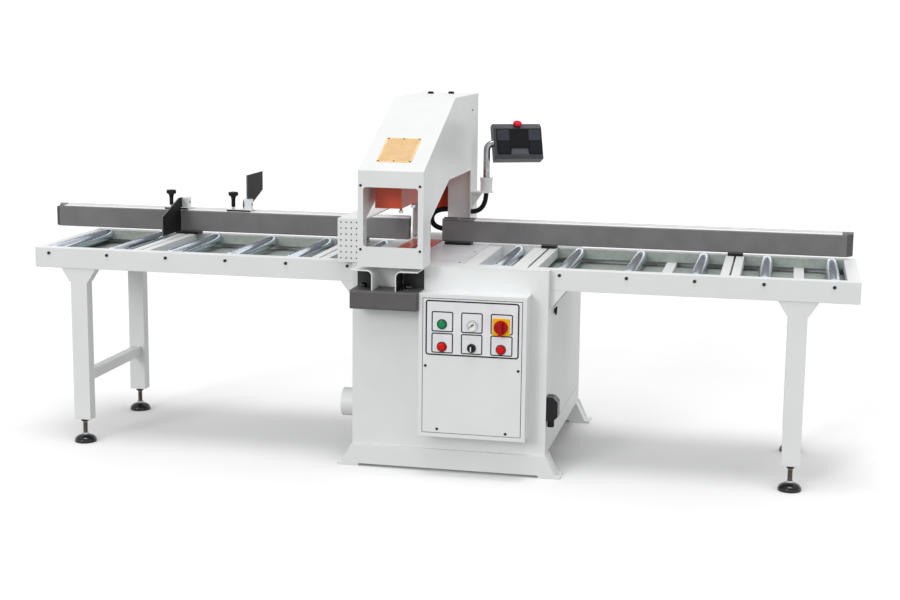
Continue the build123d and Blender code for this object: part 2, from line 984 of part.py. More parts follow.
pieces["cabinet_body"] = cabinet

# Side door with its quarter-turn latch
door_x = (cabinet_side - cabinet_sheet, cabinet_side)
door = block((door_x[0] - door_return, door_x[1]), (door_front, door_back), (door_bottom, door_top))
door -= block(
    (door_x[0] - door_return, door_x[0]),
    (door_front + cabinet_sheet, door_back - cabinet_sheet),
    (door_bottom + cabinet_sheet, door_top - cabinet_sheet),
)
latch_at = (door_front + latch_inset_y, door_top - latch_drop)
door -= rod("X", door_x, latch_at, latch_shaft_radius + running_gap)
pieces["side_door"] = [door]

latch_face = cabinet_side + running_gap
latch_top = latch_face + latch_boss
latch = rod("X", (latch_face, latch_top), latch_at, latch_radius)
latch += rod("X", (door_x[0] - door_return, latch_face), latch_at, latch_shaft_radius)
wing_outline = SlotOverall(latch_wing_length, latch_wing_width)
wing = extrude(Plane.YZ.offset(latch_top) * wing_outline, latch_wing_height)
latch += Pos(0, latch_at[0], latch_at[1]) * Rot(latch_wing_turn, 0, 0) * wing
latch += block(
    (door_x[0] - door_return, door_x[0] - running_gap),
    (latch_at[0] - latch_shaft_radius, latch_at[0] + latch_shaft_radius),
    (latch_at[1] - latch_tongue, latch_at[1]),
)
pieces["door_latch"] = [latch]

# Power inlet housing with its gland
inlet_y_span = (inlet_y - inlet_width / 2, inlet_y + inlet_width / 2)
inlet_out = cabinet_side + inlet_reach
inlet = prism_y(
    [
        (cabinet_side, inlet_bottom), (inlet_out - inlet_chamfer, inlet_bottom),
        (inlet_out, inlet_bottom + inlet_chamfer), (inlet_out, inlet_top - inlet_chamfer),
        (inlet_out - inlet_chamfer, inlet_top), (cabinet_side, inlet_top),
    ],
    inlet_y_span,
)
inlet_middle = (cabinet_side + inlet_gland_out, inlet_y)
inlet += rod("Z", (inlet_bottom - gland_length, inlet_bottom + weld_lap), inlet_middle, gland_radius)
pieces["power_inlet"] = [inlet]

# Deck: white sheets round the pan of the middle roller
strip_back = cabinet_front + deck_front_strip
deck_z = (deck_bottom, table_top)
bar_left = right_slots[0] - slot_gap / 2
deck_left = plate_right + seam_gap
pan_z = (lip_bottom, deck_bottom)
pan_side_y = (front_lip - table_sheet, back_lip + table_sheet)
pan_side_z = (tray_top, deck_bottom)
pan_lips = [
    block((pan_left, pan_right), (front_lip - table_sheet, front_lip), pan_z),
    block((pan_left, pan_right), (back_lip, back_lip + table_sheet), pan_z),
]
axle_span = (front_lip - 2 * table_sheet, back_lip + 2 * table_sheet)
axle_hole = rod("Y", axle_span, (middle_roller, axle_z), axle_radius + running_gap)
pieces["centre_deck"] = [
    block(full_width, (cabinet_front, strip_back), deck_z),
    block((-cabinet_side, right_inner - seam_gap), (strip_back, front_lip), deck_z),
    block((deck_left, pan_left), (front_lip, table_back), deck_z),
    block((pan_right, bar_left), (front_lip, table_back), deck_z),
    block((pan_left, pan_right), (back_lip, table_back), deck_z),
    block((deck_left, right_inner - seam_gap), (table_back, plate_back), deck_z),
    block((right_inner - seam_gap, cabinet_side), (table_back + seam_gap, plate_back), deck_z),
    block(full_width, (plate_back, cabinet_back), deck_z),
    pan_lips[0] - axle_hole,
    pan_lips[1] - axle_hole,
    block((pan_left - table_sheet, pan_left), pan_side_y, pan_side_z),
    block((pan_right, pan_right + table_sheet), pan_side_y, pan_side_z),
    block(
        (pan_left - table_sheet, pan_right + table_sheet),
        (front_lip - 2 * table_sheet, back_lip + 2 * table_sheet),
        (tray_top - tray_sheet, tray_top),
    ),
]

# Steel plate under the hood, and the table insert with the blade's slot
insert_x = (saw_x - insert_width / 2, saw_x + insert_width / 2)
steel_plate = block((-cabinet_side, plate_right), (front_lip, plate_back), deck_z)
steel_plate -= block(
    (insert_x[0] + insert_seat, insert_x[1] - insert_seat),
    (insert_front + insert_seat, insert_back - insert_seat),
    deck_z,
)
pieces["table_plate"] = [steel_plate]
insert = block(insert_x, (insert_front, insert_back), (table_top, table_top + insert_thickness))
insert -= block(
    (saw_x - kerf_width / 2, saw_x + kerf_width / 2),
    (kerf_front, kerf_back),
    (table_top, table_top + insert_thickness),
)
pieces["table_insert"] = [insert]


# Hood
def hood_outline(inset):
    """The hood's side view, drawn in by a sheet thickness; the inner one runs on past the open bottom."""
    slope = inset * (1 / cos(hood_angle) - sin(hood_angle) / cos(hood_angle))
    top_back = hood_slope_back + inset * (1 - cos(hood_angle)) / sin(hood_angle)
    low = hood_bottom if inset == 0 else table_top - rail_height
    return [
        (hood_front + inset, low),
        (hood_front + inset, hood_front_top - slope),
        (top_back, hood_top - inset),
        (hood_back - inset, hood_top - inset),
        (hood_back - inset, low),
    ]


hood_x = (hood_left, hood_right)
hood_inside = (hood_left + hood_sheet, hood_right - hood_sheet)
hood = prism_x(hood_outline(0), hood_x) - prism_x(hood_outline(hood_sheet), hood_inside)
hood -= prism_x(
    [
        (throat_front, table_top), (throat_front, throat_front_top), (throat_slope_back, throat_top),
        (throat_back, throat_top), (throat_back, table_top),
    ],
    hood_x,
)
hood += prism_x(
    [(throat_back, table_top), (throat_back, hood_bottom), (hood_back, hood_bottom), (hood_back, table_top)],
    (hood_left, hood_left + hood_sheet),
)
hood += prism_x(
    [(throat_back, table_top), (throat_back, hood_bottom), (hood_back, hood_bottom), (hood_back, table_top)],
    (hood_right - hood_sheet, hood_right),
)
column_left = hood_right - column_width
hood -= block(
    (hood_inside[0], column_left),
    (hood_back - hood_sheet, hood_back),
    (table_top, table_top + back_opening_height),
)
column_front = hood_back - column_depth
column_z = (table_top, bridge_bottom)
hood += block((column_left, hood_inside[1]), (column_front, column_front + hood_sheet), column_z)
hood += block((column_left, column_left + hood_sheet), (column_front, hood_back - hood_sheet), column_z)
bridge = block(hood_inside, (bridge_front, column_front + hood_sheet), (bridge_bottom, bridge_top))
hood += bridge - rod("Z", (bridge_bottom, bridge_top), (saw_x, ram_y), ram_radius + seam_gap)
window_x = (hood_left + window_side, hood_right - window_side)
window = extrude(
    Plane.XZ.offset(-hood_front)
    * Pos((window_x[0] + window_x[1]) / 2, (window_bottom + window_top) / 2)
    * RectangleRounded(window_x[1] - window_x[0], window_top - window_bottom, window_corner),
    -hood_sheet,
)
hood -= window

# Perforated guard where the work goes in
guard_left = hood_left - side_guard_width
guard_back_face = throat_front - side_guard_inset
guard_y = (guard_back_face - hood_sheet, guard_back_face)
guard_front = block((guard_left, hood_left), guard_y, (hood_bottom, side_guard_top))
for column in range(guard_hole_columns):
    for row in range(guard_hole_rows):
        x = guard_left + guard_hole_edge + column * guard_hole_step_x
        z = side_guard_top - guard_hole_drop - row * guard_hole_step_z
        hole = Plane.XZ.offset(-guard_back_face) * Pos(x, z) * RegularPolygon(guard_hole_radius, 6)
        guard_front -= extrude(hole, hood_sheet, dir=(0, -1, 0))
guard_roof = block(
    (guard_left, hood_left), (guard_back_face, side_guard_back), (side_guard_top - hood_sheet, side_guard_top)
)

# Vent grille on the slope, over an opening in the sheet
vent_plane = Plane(
    origin=(
        vent_centre_x,
        hood_front + (vent_start + vent_length / 2) * cos(hood_angle),
        hood_front_top + (vent_start + vent_length / 2) * sin(hood_angle),
    ),
    x_dir=(1, 0, 0),
    z_dir=(0, -sin(hood_angle), cos(hood_angle)),
)
vent_inner = (vent_width - 2 * vent_margin, vent_length - 2 * vent_margin)
hood -= vent_plane * Box(vent_inner[0], vent_inner[1], 4 * hood_sheet)
pieces["hood_shell"] = [hood + guard_front + guard_roof]
grid = GridLocations(vent_inner[0] / vent_columns, vent_inner[1] / vent_rows, vent_columns, vent_rows)
grille = Rectangle(vent_width, vent_length) - [place * Rectangle(vent_hole, vent_hole) for place in grid]
pieces["vent_plate"] = [extrude(vent_plane * grille, vent_sheet)]

pane_y = (hood_front + hood_sheet, hood_front + hood_sheet + pane_thickness)
pieces["window_pane"] = [
    block(
        (window_x[0] - pane_margin, window_x[1] + pane_margin),
        pane_y,
        (window_bottom - pane_margin, window_top + pane_margin),
    )
]

# Clamp guard: an open-bottomed sheet box with a cut-back nose, its ram, bushings and press feet
guard_profile = [
    (clamp_front, clamp_bottom),
    (clamp_front, clamp_top - clamp_nose),
    (clamp_front + clamp_nose, clamp_top),
    (clamp_back, clamp_top),
    (clamp_back, clamp_bottom),
]
guard = prism_x(guard_profile, (clamp_left, clamp_right))
nose_cut = clamp_sheet * (2 ** 0.5 - 1)
guard -= prism_x(
    [
        (clamp_front + clamp_sheet, clamp_bottom),
        (clamp_front + clamp_sheet, clamp_top - clamp_nose - nose_cut),
        (clamp_front + clamp_nose + nose_cut, clamp_top - clamp_sheet),
        (clamp_back - clamp_sheet, clamp_top - clamp_sheet),
        (clamp_back - clamp_sheet, clamp_bottom),
    ],
    (clamp_left + clamp_sheet, clamp_right - clamp_sheet),
)
for y in post_ys:
    guard += rod("Z", (clamp_top - bushing_length, clamp_top), (post_x, y), bushing_radius)
    guard -= rod("Z", (clamp_top - bushing_length, clamp_top), (post_x, y), post_radius + running_gap)
for y in press_foot_ys:
    pad_bottom = clamp_bottom - press_foot_drop
    guard += rod("Z", (pad_bottom, pad_bottom + press_pad_height), (press_foot_x, y), press_pad_radius)
    guard += rod("Z", (pad_bottom + press_pad_height, clamp_top), (press_foot_x, y), press_rod_radius)
piston_top = ram_barrel_top - ram_cap - ram_end_gap
piston_bottom = piston_top - ram_piston_height
guard += rod("Z", (clamp_top, piston_bottom), (saw_x, ram_y), ram_radius)
guard += rod("Z", (piston_bottom, piston_top), (saw_x, ram_y), ram_piston_radius)
pieces["clamp_guard"] = [guard]

barrel = rod("Z", (bridge_top, ram_barrel_top), (saw_x, ram_y), ram_barrel_radius)
ram_bore = (bridge_top + ram_cap, ram_barrel_top - ram_cap)
barrel -= rod("Z", ram_bore, (saw_x, ram_y), ram_piston_radius + running_gap)
barrel -= rod("Z", (bridge_top, bridge_top + ram_cap), (saw_x, ram_y), ram_radius + running_gap)
posts = []
for y in post_ys:
    post = rod("Z", (table_top, bridge_bottom), (post_x, y), post_radius)
    posts.append(post + rod("Z", (table_top, table_top + post_flange), (post_x, y), post_flange_radius))
pieces["clamp_cylinder_and_posts"] = [barrel] + posts

# Swinging arm with the spindle housing, pivot tube, motor plate and lift lugs
arm_length = hypot(spindle_y - pivot_y, spindle_z - pivot_z)
arm_turn = degrees(atan2(spindle_z - pivot_z, pivot_y - spindle_y))
arm_x = (arm_left, arm_right)
half_arm = arm_height / 2
beam = box_tube(arm_x, (-arm_length, 0), (-half_arm, half_arm), arm_wall, "Y")
arm = Pos(0, pivot_y, pivot_z) * Rot(-arm_turn, 0, 0) * beam
arm += rod("X", (housing_left, housing_right), (spindle_y, spindle_z), housing_radius)
arm += rod("X", (pivot_tube_left, pivot_tube_right), (pivot_y, pivot_z), pivot_tube_radius)
shaft_reach = bearing_width + 2 * running_gap
shaft_span = (pivot_tube_left - shaft_reach, pivot_tube_right + shaft_reach)
arm += rod("X", shaft_span, (pivot_y, pivot_z), pivot_shaft_radius)
plate_rims = (Pos(pivot_y, pivot_z) * Circle(pivot_tube_radius + motor_plate_margin)).edges()
plate_rims += (Pos(motor_y, motor_z) * Circle(motor_radius + motor_plate_margin)).edges()
plate_face = make_hull(plate_rims)
motor_plate_x = (motor_plate_left, motor_plate_left + motor_plate)
arm += extrude(Plane.YZ.offset(motor_plate_x[0]) * plate_face, motor_plate)
lug_gap = lift_eye_width / 2 + 2 * running_gap
for side in (-1, 1):
    span = sorted((lift_x + side * lug_gap, lift_x + side * (lug_gap + lift_ear)))
    lug_y = (lift_y - lift_eye_radius, lift_y + lift_eye_radius)
    lug = block(span, lug_y, (lift_pin_z, spindle_z - half_arm))
    arm += lug + rod("X", span, (lift_y, lift_pin_z), lift_eye_radius)
lift_pin = (lift_x - lug_gap - lift_ear, lift_x + lug_gap + lift_ear)
arm += rod("X", lift_pin, (lift_y, lift_pin_z), lift_pin_radius)
arm -= rod("X", (housing_left, housing_right), (spindle_y, spindle_z), arbor_radius + running_gap)
arm -= rod("X", motor_plate_x, (motor_y, motor_z), motor_shaft_radius + running_gap)
pieces["saw_arm"] = [arm]

# Motor under the arm, with its terminal box
motor_x = (motor_plate_x[1], motor_plate_x[1] + motor_length)
motor = rod("X", motor_x, (motor_y, motor_z), motor_radius)
motor += rod("X", (motor_x[1], motor_x[1] + motor_cap), (motor_y, motor_z), motor_cap_radius)
terminal_x = motor_x[0] + terminal_box_start
motor += block(
    (terminal_x, terminal_x + terminal_box),
    (motor_y - terminal_box / 2, motor_y + terminal_box / 2),
    (motor_z - motor_radius - terminal_box_drop, motor_z),
)
shaft_hole = (motor_x[0], motor_x[0] + motor_shaft_depth + seam_gap)
motor -= rod("X", shaft_hole, (motor_y, motor_z), motor_shaft_radius + running_gap)
pieces["motor"] = [motor]

# Motor pulley with its shaft, spindle with its pulley and flanges, and the belt between them
pulley_x = (pulley_left, pulley_left + pulley_width)
motor_pulley = rod("X", pulley_x, (motor_y, motor_z), motor_pulley_radius)
shaft_x = (pulley_x[1], motor_x[0] + motor_shaft_depth)
motor_pulley += rod("X", shaft_x, (motor_y, motor_z), motor_shaft_radius)
pieces["motor_pulley"] = [motor_pulley]

blade_x = (saw_x - blade_thickness / 2, saw_x + blade_thickness / 2)
spindle_at = (spindle_y, spindle_z)
nut_end = blade_x[0] - flange_width - nut_width
spindle = rod("X", (nut_end, pulley_x[1]), spindle_at, arbor_radius)
spindle += rod("X", (blade_x[1], blade_x[1] + flange_width), spindle_at, flange_radius)
spindle += rod("X", (blade_x[0] - flange_width, blade_x[0]), spindle_at, flange_radius)
nut = extrude(Plane.YZ.offset(nut_end) * RegularPolygon(nut_radius, 6), nut_width)
spindle += Pos(0, spindle_y, spindle_z) * nut
spindle += rod("X", pulley_x, spindle_at, spindle_pulley_radius)
pieces["spindle"] = [spindle]

tooth_angle = 2 * pi / blade_teeth
outline = []
for tooth in range(blade_teeth):
    for share, depth in tooth_form:
        radius = blade_radius - depth * tooth_depth
        angle = (tooth + share) * tooth_angle
        outline.append((radius * cos(angle), radius * sin(angle)))
disc = Polygon(*outline, align=None) - Circle(arbor_radius + arbor_fit)
blade = extrude(Plane.YZ.offset(blade_x[0]) * disc, blade_thickness)
pieces["saw_blade"] = [Pos(0, spindle_y, spindle_z) * blade]


def belt_loop(grow):
    """The closed outline round both pulleys, grown outwards."""
    wheels = (Pos(spindle_y, spindle_z) * Circle(spindle_pulley_radius + grow)).edges()
    wheels += (Pos(motor_y, motor_z) * Circle(motor_pulley_radius + grow)).edges()
    return make_hull(wheels)


belt_face = belt_loop(running_gap + belt_thickness) - belt_loop(running_gap)
pieces["drive_belt"] = [extrude(Plane.YZ.offset(pulley_x[0]) * belt_face, pulley_width)]

# Lift cylinder: a barrel on the clevis pin, and the rod that carries the arm
lift_at = (lift_x, lift_y)
lug_x = (lift_x - lift_eye_width / 2, lift_x + lift_eye_width / 2)
lift_barrel = rod("Z", (lift_barrel_bottom, lift_barrel_top), lift_at, lift_barrel_radius)
eye_y = (lift_y - lift_eye_radius, lift_y + lift_eye_radius)
lift_barrel += block(lug_x, eye_y, (lift_base_z, lift_barrel_bottom + weld_lap))
lift_barrel += rod("X", lug_x, (lift_y, lift_base_z), lift_eye_radius)
lift_barrel -= rod("X", lug_x, (lift_y, lift_base_z), lift_pin_radius + running_gap)
lift_bore = (lift_barrel_bottom + lift_cap, lift_barrel_top - lift_cap)
lift_barrel -= rod("Z", lift_bore, lift_at, lift_bore_radius)
lift_barrel -= rod("Z", (lift_bore[1], lift_barrel_top), lift_at, lift_rod_radius + running_gap)
pieces["lift_cylinder"] = [lift_barrel]

lift_rod = rod("Z", (lift_piston_start, lift_pin_z - lift_eye_hole), lift_at, lift_rod_radius)
lift_rod += rod(
    "Z", (lift_piston_start, lift_piston_start + lift_piston_height), lift_at, lift_bore_radius - running_gap
)
lift_rod += rod("X", lug_x, (lift_y, lift_pin_z), lift_eye_radius)
lift_rod -= rod("X", lug_x, (lift_y, lift_pin_z), lift_eye_hole)
pieces["lift_rod"] = [lift_rod]


# Fences
def fence(outer, inner, feet, strip_from):
    """A box-section fence with a cap at its outer end, its feet, and the strip that the stops ride on."""
    inward = 1 if inner > outer else -1
    cap = outer + inward * fence_cap
    middle = (cap, (fence_front + fence_back) / 2, (fence_bottom + fence_top) / 2)
    section = RectangleRounded(fence_thickness, fence_height, fence_corner)
    hollow = Rectangle(fence_thickness - 2 * fence_wall, fence_height - 2 * fence_wall)
    towards_hood = Plane(middle, x_dir=(0, 1, 0), z_dir=(inward, 0, 0))
    away = Plane(middle, x_dir=(0, 1, 0), z_dir=(-inward, 0, 0))
    body = extrude(towards_hood * (section - hollow), abs(inner - cap))
    body += extrude(away * section, fence_cap, taper=fence_cap_taper)
    low, high = sorted((cap, strip_from))
    half_strip = fence_strip_width / 2
    body += block((low, high), (middle[1] - half_strip, middle[1] + half_strip), (fence_top, strip_top))
    for x, length in feet:
        across = (x - length / 2, x + length / 2)
        foot_y = (fence_foot_front, fence_foot_front + fence_foot_depth)
        body += block(across, foot_y, (table_top, fence_bottom))
    return body


left_feet = [(x, left_foot_length) for x in left_slots]
pieces["left_fence"] = [fence(left_fence_outer, left_fence_inner, left_feet, left_fence_inner)]
cover_end = right_fence_inner + fence_cover_length
right_feet = [(plate_foot_x, plate_foot_length)] + [(x, right_foot_length) for x in right_slots]
right_fence = fence(right_fence_outer, right_fence_inner, right_feet, cover_end)
cover_z = (fence_top, fence_top + fence_cover)
right_fence += block((right_fence_inner, cover_end), (fence_front, fence_back), cover_z)
pieces["right_fence"] = [right_fence]


# Flip stops
def stop_base(block_x):
    """A shoe on the fence strip with the hinge block at one end and the clamp screw's hole at the other."""
    bottom = strip_top + running_gap
    top = bottom + stop_base_height
    right = block_x + stop_block_width
    middle = (fence_front + fence_back) / 2
    shoe_y = (middle - stop_base_width / 2, middle + stop_base_width / 2)
    base = block((right - stop_base_length, right), shoe_y, (bottom, top))
    block_y = (stop_pivot_y - stop_block_depth / 2, stop_pivot_y + stop_block_depth / 2)
    base += block((block_x, right), block_y, (top, stop_block_top))
    base -= rod("X", (block_x, right), (stop_pivot_y, stop_pivot_z), stop_pin_radius + running_gap)
    knob_at = (right - stop_base_length + knob_inset, middle)
    return base - rod("Z", (bottom, top), knob_at, knob_stem_radius + running_gap)


def stop_plate_solid(block_x):
    """The swinging plate with its hinge pin, lowered in front of the fence."""
    x = (block_x - running_gap - stop_plate, block_x - running_gap)
    plate = prism_x(
        [
            (stop_reach_front, stop_bottom), (stop_reach_front, stop_nose_top),
            (stop_shoulder, stop_pivot_z + stop_heel_radius), (stop_pivot_y, stop_pivot_z + stop_heel_radius),
            (stop_pivot_y, stop_pivot_z - stop_heel_radius), (stop_back, stop_pivot_z - stop_heel_radius),
            (stop_back, stop_bottom),
        ],
        x,
    )
    plate += rod("X", x, (stop_pivot_y, stop_pivot_z), stop_heel_radius)
    return plate + rod("X", (x[1], block_x + stop_block_width), (stop_pivot_y, stop_pivot_z), stop_pin_radius)


def stop_knob(block_x):
    """A star knob on the clamp screw."""
    right = block_x + stop_block_width
    at = (right - stop_base_length + knob_inset, (fence_front + fence_back) / 2)
    bottom = strip_top + 2 * running_gap
    head = bottom + knob_stem_length
    profile = Circle(knob_radius)
    for lobe in range(knob_lobes):
        turn = 2 * pi * lobe / knob_lobes
        notch = Pos(knob_lobe_centre * cos(turn), knob_lobe_centre * sin(turn))
        profile -= notch * Circle(knob_lobe_radius)
    knob = extrude(Plane.XY.offset(head) * profile, knob_height)
    knob += Pos(0, 0, head - knob_hub) * extrude(Circle(knob_hub_radius), knob_hub)
    return Pos(at[0], at[1], 0) * (knob + rod("Z", (bottom, head), (0, 0), knob_stem_radius))


hinge_line = Axis((0, stop_pivot_y, stop_pivot_z), (1, 0, 0))
for number, (block_x, raised) in enumerate(((stop_1_block_x, False), (stop_2_block_x, True)), 1):
    swinging = stop_plate_solid(block_x)
    pieces[f"stop_{number}_base"] = [stop_base(block_x)]
    pieces[f"stop_{number}_plate"] = [swinging.rotate(hinge_line, 180) if raised else swinging]
    pieces[f"stop_{number}_knob"] = [stop_knob(block_x)]

# Console tray and its two start buttons
tray_box = block((console_left, console_right), (console_front, cabinet_front), (console_bottom, console_top))
front_edges = tray_box.edges().filter_by(lambda edge: abs(edge.center().Y - console_front) < 1)
tray_box = fillet(front_edges, console_corner)
tray_box -= block(
    (console_left + console_sheet, console_right - console_sheet),
    (console_front + console_sheet, cabinet_front),
    (console_bottom + console_sheet, console_top - console_sheet),
)
start_places = (console_left + start_left_inset, console_right - start_right_inset)
upstand_y = (cabinet_front - console_sheet, cabinet_front)
upstand_top = console_roof_top - console_roof_sheet - seam_gap
for side, outward in ((console_left, -1), (console_right, 1)):
    inner = side - outward * (console_roof_width - console_roof_sheet - seam_gap)
    tray_box += prism_y(
        [
            (side, console_top), (side, upstand_top), (inner + outward * console_roof_bend, upstand_top),
            (inner, upstand_top - console_roof_bend), (inner, console_top),
        ],
        upstand_y,
    )
for x in start_places:
    at = (x, start_button_y)
    tray_box += rod("Z", (console_top, console_top + start_collar), at, start_collar_radius)
    stem_hole = (console_top - console_sheet, console_top + start_collar)
    tray_box -= rod("Z", stem_hole, at, start_stem_radius + running_gap)
pieces["console_tray"] = [tray_box]


def turned_button(stem, stem_radius, radius, height, crown):
    """A button turned about Z: a stem over a (low, high) span, and a crowned cap on top of it."""
    low, under = stem
    points = [(0, low), (stem_radius, low), (stem_radius, under), (radius, under)]
    points += [(radius - inward, under + height - down) for inward, down in crown]
    points.append((0, under + height))
    return revolve(Plane.XZ * Polygon(*points, align=None), Axis.Z)


start_under = console_top + start_collar + start_button_travel + running_gap
start_stem = (console_top - 2 * console_sheet, start_under)
for side, x in zip(("left", "right"), start_places):
    button = turned_button(
        start_stem, start_stem_radius, start_button_radius, start_button_height, button_crown
    )
    pieces[f"start_button_{side}"] = [Pos(x, start_button_y, 0) * button]

# Control box with a rim and ledge, and its inset cover
box_x = (box_left, box_right)
box_z = (box_bottom, box_top)
box_y = (box_front, cabinet_front)
opening_x = (box_left + box_rim, box_right - box_rim)
opening_z = (box_bottom + box_rim, box_top - box_rim)
control_box = block(box_x, box_y, box_z)
control_box -= block(
    (box_left + box_sheet, box_right - box_sheet),
    (box_front + 2 * box_sheet, cabinet_front),
    (box_bottom + box_sheet, box_top - box_sheet),
)
control_box -= block(opening_x, (box_front, box_front + box_sheet), opening_z)
control_box -= block(
    (opening_x[0] + box_ledge, opening_x[1] - box_ledge),
    (box_front, box_front + 2 * box_sheet),
    (opening_z[0] + box_ledge, opening_z[1] - box_ledge),
)
pieces["control_box"] = [control_box]

cover = block(
    (opening_x[0] + cover_gap, opening_x[1] - cover_gap),
    (box_front, box_front + box_sheet),
    (opening_z[0] + cover_gap, opening_z[1] - cover_gap),
)
top_row, low_row = control_rows
push_places = {
    "green_button": (control_columns[0], top_row),
    "red_button_left": (control_columns[0], low_row),
    "red_button_right": (control_columns[2], low_row),
}
gauge_at = (control_columns[1], top_row)
selector_at = (control_columns[1], low_row)
switch_at = (control_columns[2], top_row)
behind = box_front + box_sheet
through = [(at, push_radius) for at in push_places.values()] + [(selector_at, shaft_radius)]
for at, radius in through:
    cover += rod("Y", (box_front - bezel_height, box_front), at, bezel_radius)
    cover -= rod("Y", (box_front - bezel_height, behind), at, radius + running_gap)
cover += tube("Y", (box_front - gauge_height, box_front), gauge_at, gauge_radius, gauge_radius - gauge_rim)
half_plate = switch_plate / 2
switch_face = box_front - switch_plate_thickness
cover += block(
    (switch_at[0] - half_plate, switch_at[0] + half_plate),
    (switch_face, box_front),
    (switch_at[1] - half_plate, switch_at[1] + half_plate),
)
cover -= rod("Y", (switch_face, behind), switch_at, shaft_radius + running_gap)
cover -= rod("Y", (box_front, behind), gauge_at, needle_width + running_gap)
pieces["control_cover"] = [cover]

for name, at in push_places.items():
    front = box_front - push_height
    cap = rod("Y", (front, front + push_length), at, push_radius)
    pieces[name] = [chamfer(cap.edges().group_by(Axis.Y)[0], push_chamfer)]

needle_y = (box_front - gauge_height / 2, box_front - gauge_height / 2 + needle_thickness)
needle = rod("Y", needle_y, (0, 0), 2 * needle_width)
needle += block((-needle_width / 2, needle_width / 2), needle_y, (0, needle_length))
needle += rod("Y", (needle_y[1], behind), (0, 0), needle_width)
pieces["gauge_needle"] = [Pos(gauge_at[0], 0, gauge_at[1]) * Rot(0, needle_rest_turn, 0) * needle]

selector_front = box_front - bezel_height - running_gap
selector = rod("Y", (selector_front - selector_height, selector_front), selector_at, selector_radius)
selector += rod("Y", (selector_front, behind), selector_at, shaft_radius)
selector += block(
    (selector_at[0] - selector_grip / 2, selector_at[0] + selector_grip / 2),
    (selector_front - 2 * selector_height, selector_front - selector_height),
    (selector_at[1] - selector_grip_length / 2, selector_at[1] + selector_grip_length / 2),
)
pieces["selector_knob"] = [selector]

switch_front = switch_face - running_gap
switch = rod("Y", (switch_front - switch_height, switch_front), switch_at, switch_radius)
switch += rod("Y", (switch_front, behind), switch_at, shaft_radius)
switch += block(
    (switch_at[0] - switch_grip / 2, switch_at[0] + switch_grip / 2),
    (switch_front - switch_height - switch_grip_height, switch_front - switch_height),
    (switch_at[1] - switch_grip_low, switch_at[1] + switch_grip_high),
)
pieces["main_switch"] = [switch]

# Pendant: bracket and socket on the hood, swivelling pipe, and the box with its stop button
pendant_at = (pendant_x, pendant_y)
half_bracket = pendant_bracket_width / 2
bracket_y = (pendant_y - half_bracket, pendant_y + half_bracket)
shelf = (pendant_socket_bottom - pendant_plate, pendant_socket_bottom)
wall_plate = (hood_right, hood_right + pendant_plate)
bracket = block(wall_plate, bracket_y, (pendant_socket_bottom - pendant_bracket_drop, pendant_socket_bottom))
bracket += block((wall_plate[1], pendant_x), bracket_y, shelf)
bracket += rod("Z", shelf, pendant_at, half_bracket)
bracket += prism_y(
    [
        (wall_plate[1], shelf[0]), (wall_plate[1], pendant_socket_bottom - pendant_bracket_drop),
        (pendant_x - pendant_pipe_radius, shelf[0]),
    ],
    (pendant_y - pendant_plate / 2, pendant_y + pendant_plate / 2),
)
bracket += rod("Z", (pendant_socket_bottom, pendant_socket_top), pendant_at, pendant_socket_radius)
collar_z = (pendant_socket_top - pendant_collar, pendant_socket_top)
bracket += rod("Z", collar_z, pendant_at, pendant_collar_radius)
socket_floor = pendant_socket_bottom + pendant_socket_floor
bracket -= rod("Z", (socket_floor, pendant_socket_top), pendant_at, pendant_pipe_radius + running_gap)
bracket -= rod("Z", (shelf[0], socket_floor), pendant_at, conduit_radius + running_gap)
pieces["pendant_bracket"] = [bracket]

pipe_start = (pendant_x, pendant_y, socket_floor + running_gap)
pipe_end = (pendant_box_left + pendant_pipe_entry, pendant_y, pendant_pipe_z)
pipe_line = FilletPolyline(
    pipe_start, (pendant_x, pendant_y, pendant_pipe_z), pipe_end,
    radius=pendant_pipe_bend,
)
pipe_ring = Circle(pendant_pipe_radius) - Circle(pendant_pipe_radius - pendant_pipe_wall)
pipe = sweep(Plane(pipe_start, z_dir=(0, 0, 1)) * pipe_ring, path=pipe_line)
swivel = Axis((pendant_x, pendant_y, 0), (0, 0, 1))
pieces["pendant_pipe"] = [pipe.rotate(swivel, pendant_turn)]

pendant_box_right = pendant_box_left + pendant_box_width
pendant_box_top = pendant_box_bottom + pendant_box_height
pendant_box_back = pendant_box_front + pendant_box_depth
pendant_box = prism_x(
    [
        (pendant_box_front, pendant_box_bottom + pendant_low_bevel),
        (pendant_box_front, pendant_box_top - pendant_band),
        (pendant_box_front + pendant_band, pendant_box_top),
        (pendant_box_back, pendant_box_top),
        (pendant_box_back, pendant_box_bottom),
        (pendant_box_front + pendant_low_bevel, pendant_box_bottom),
    ],
    (pendant_box_left, pendant_box_right),
)
plan = Polygon(
    (pendant_box_left, pendant_box_back), (pendant_box_left, pendant_box_front + pendant_side_bevel),
    (pendant_box_left + pendant_side_bevel, pendant_box_front),
    (pendant_box_right - pendant_side_bevel, pendant_box_front),
    (pendant_box_right, pendant_box_front + pendant_side_bevel), (pendant_box_right, pendant_box_back),
    align=None,
)
pendant_box &= extrude(Plane.XY.offset(pendant_box_bottom) * plan, pendant_box_height, dir=(0, 0, 1))
panel_left = pendant_box_left + pendant_side_bevel + pendant_pad_margin
panel_right = pendant_box_right - pendant_side_bevel - pendant_pad_margin
panel_bottom = pendant_box_bottom + pendant_low_bevel + pendant_pad_margin
panel_top = pendant_box_top - pendant_band - pendant_pad_margin
panel_y = (pendant_box_front, pendant_box_front + pendant_pad_recess)
pendant_box -= block((panel_left, panel_right), panel_y, (panel_top - pendant_pad_shelf, panel_top))
for pad_left in (panel_left, panel_right - pendant_pad_width):
    pendant_box -= block((pad_left, pad_left + pendant_pad_width), panel_y, (panel_bottom, panel_top))
pipe_hole = (pendant_box_left, pendant_box_left + pendant_pipe_entry)
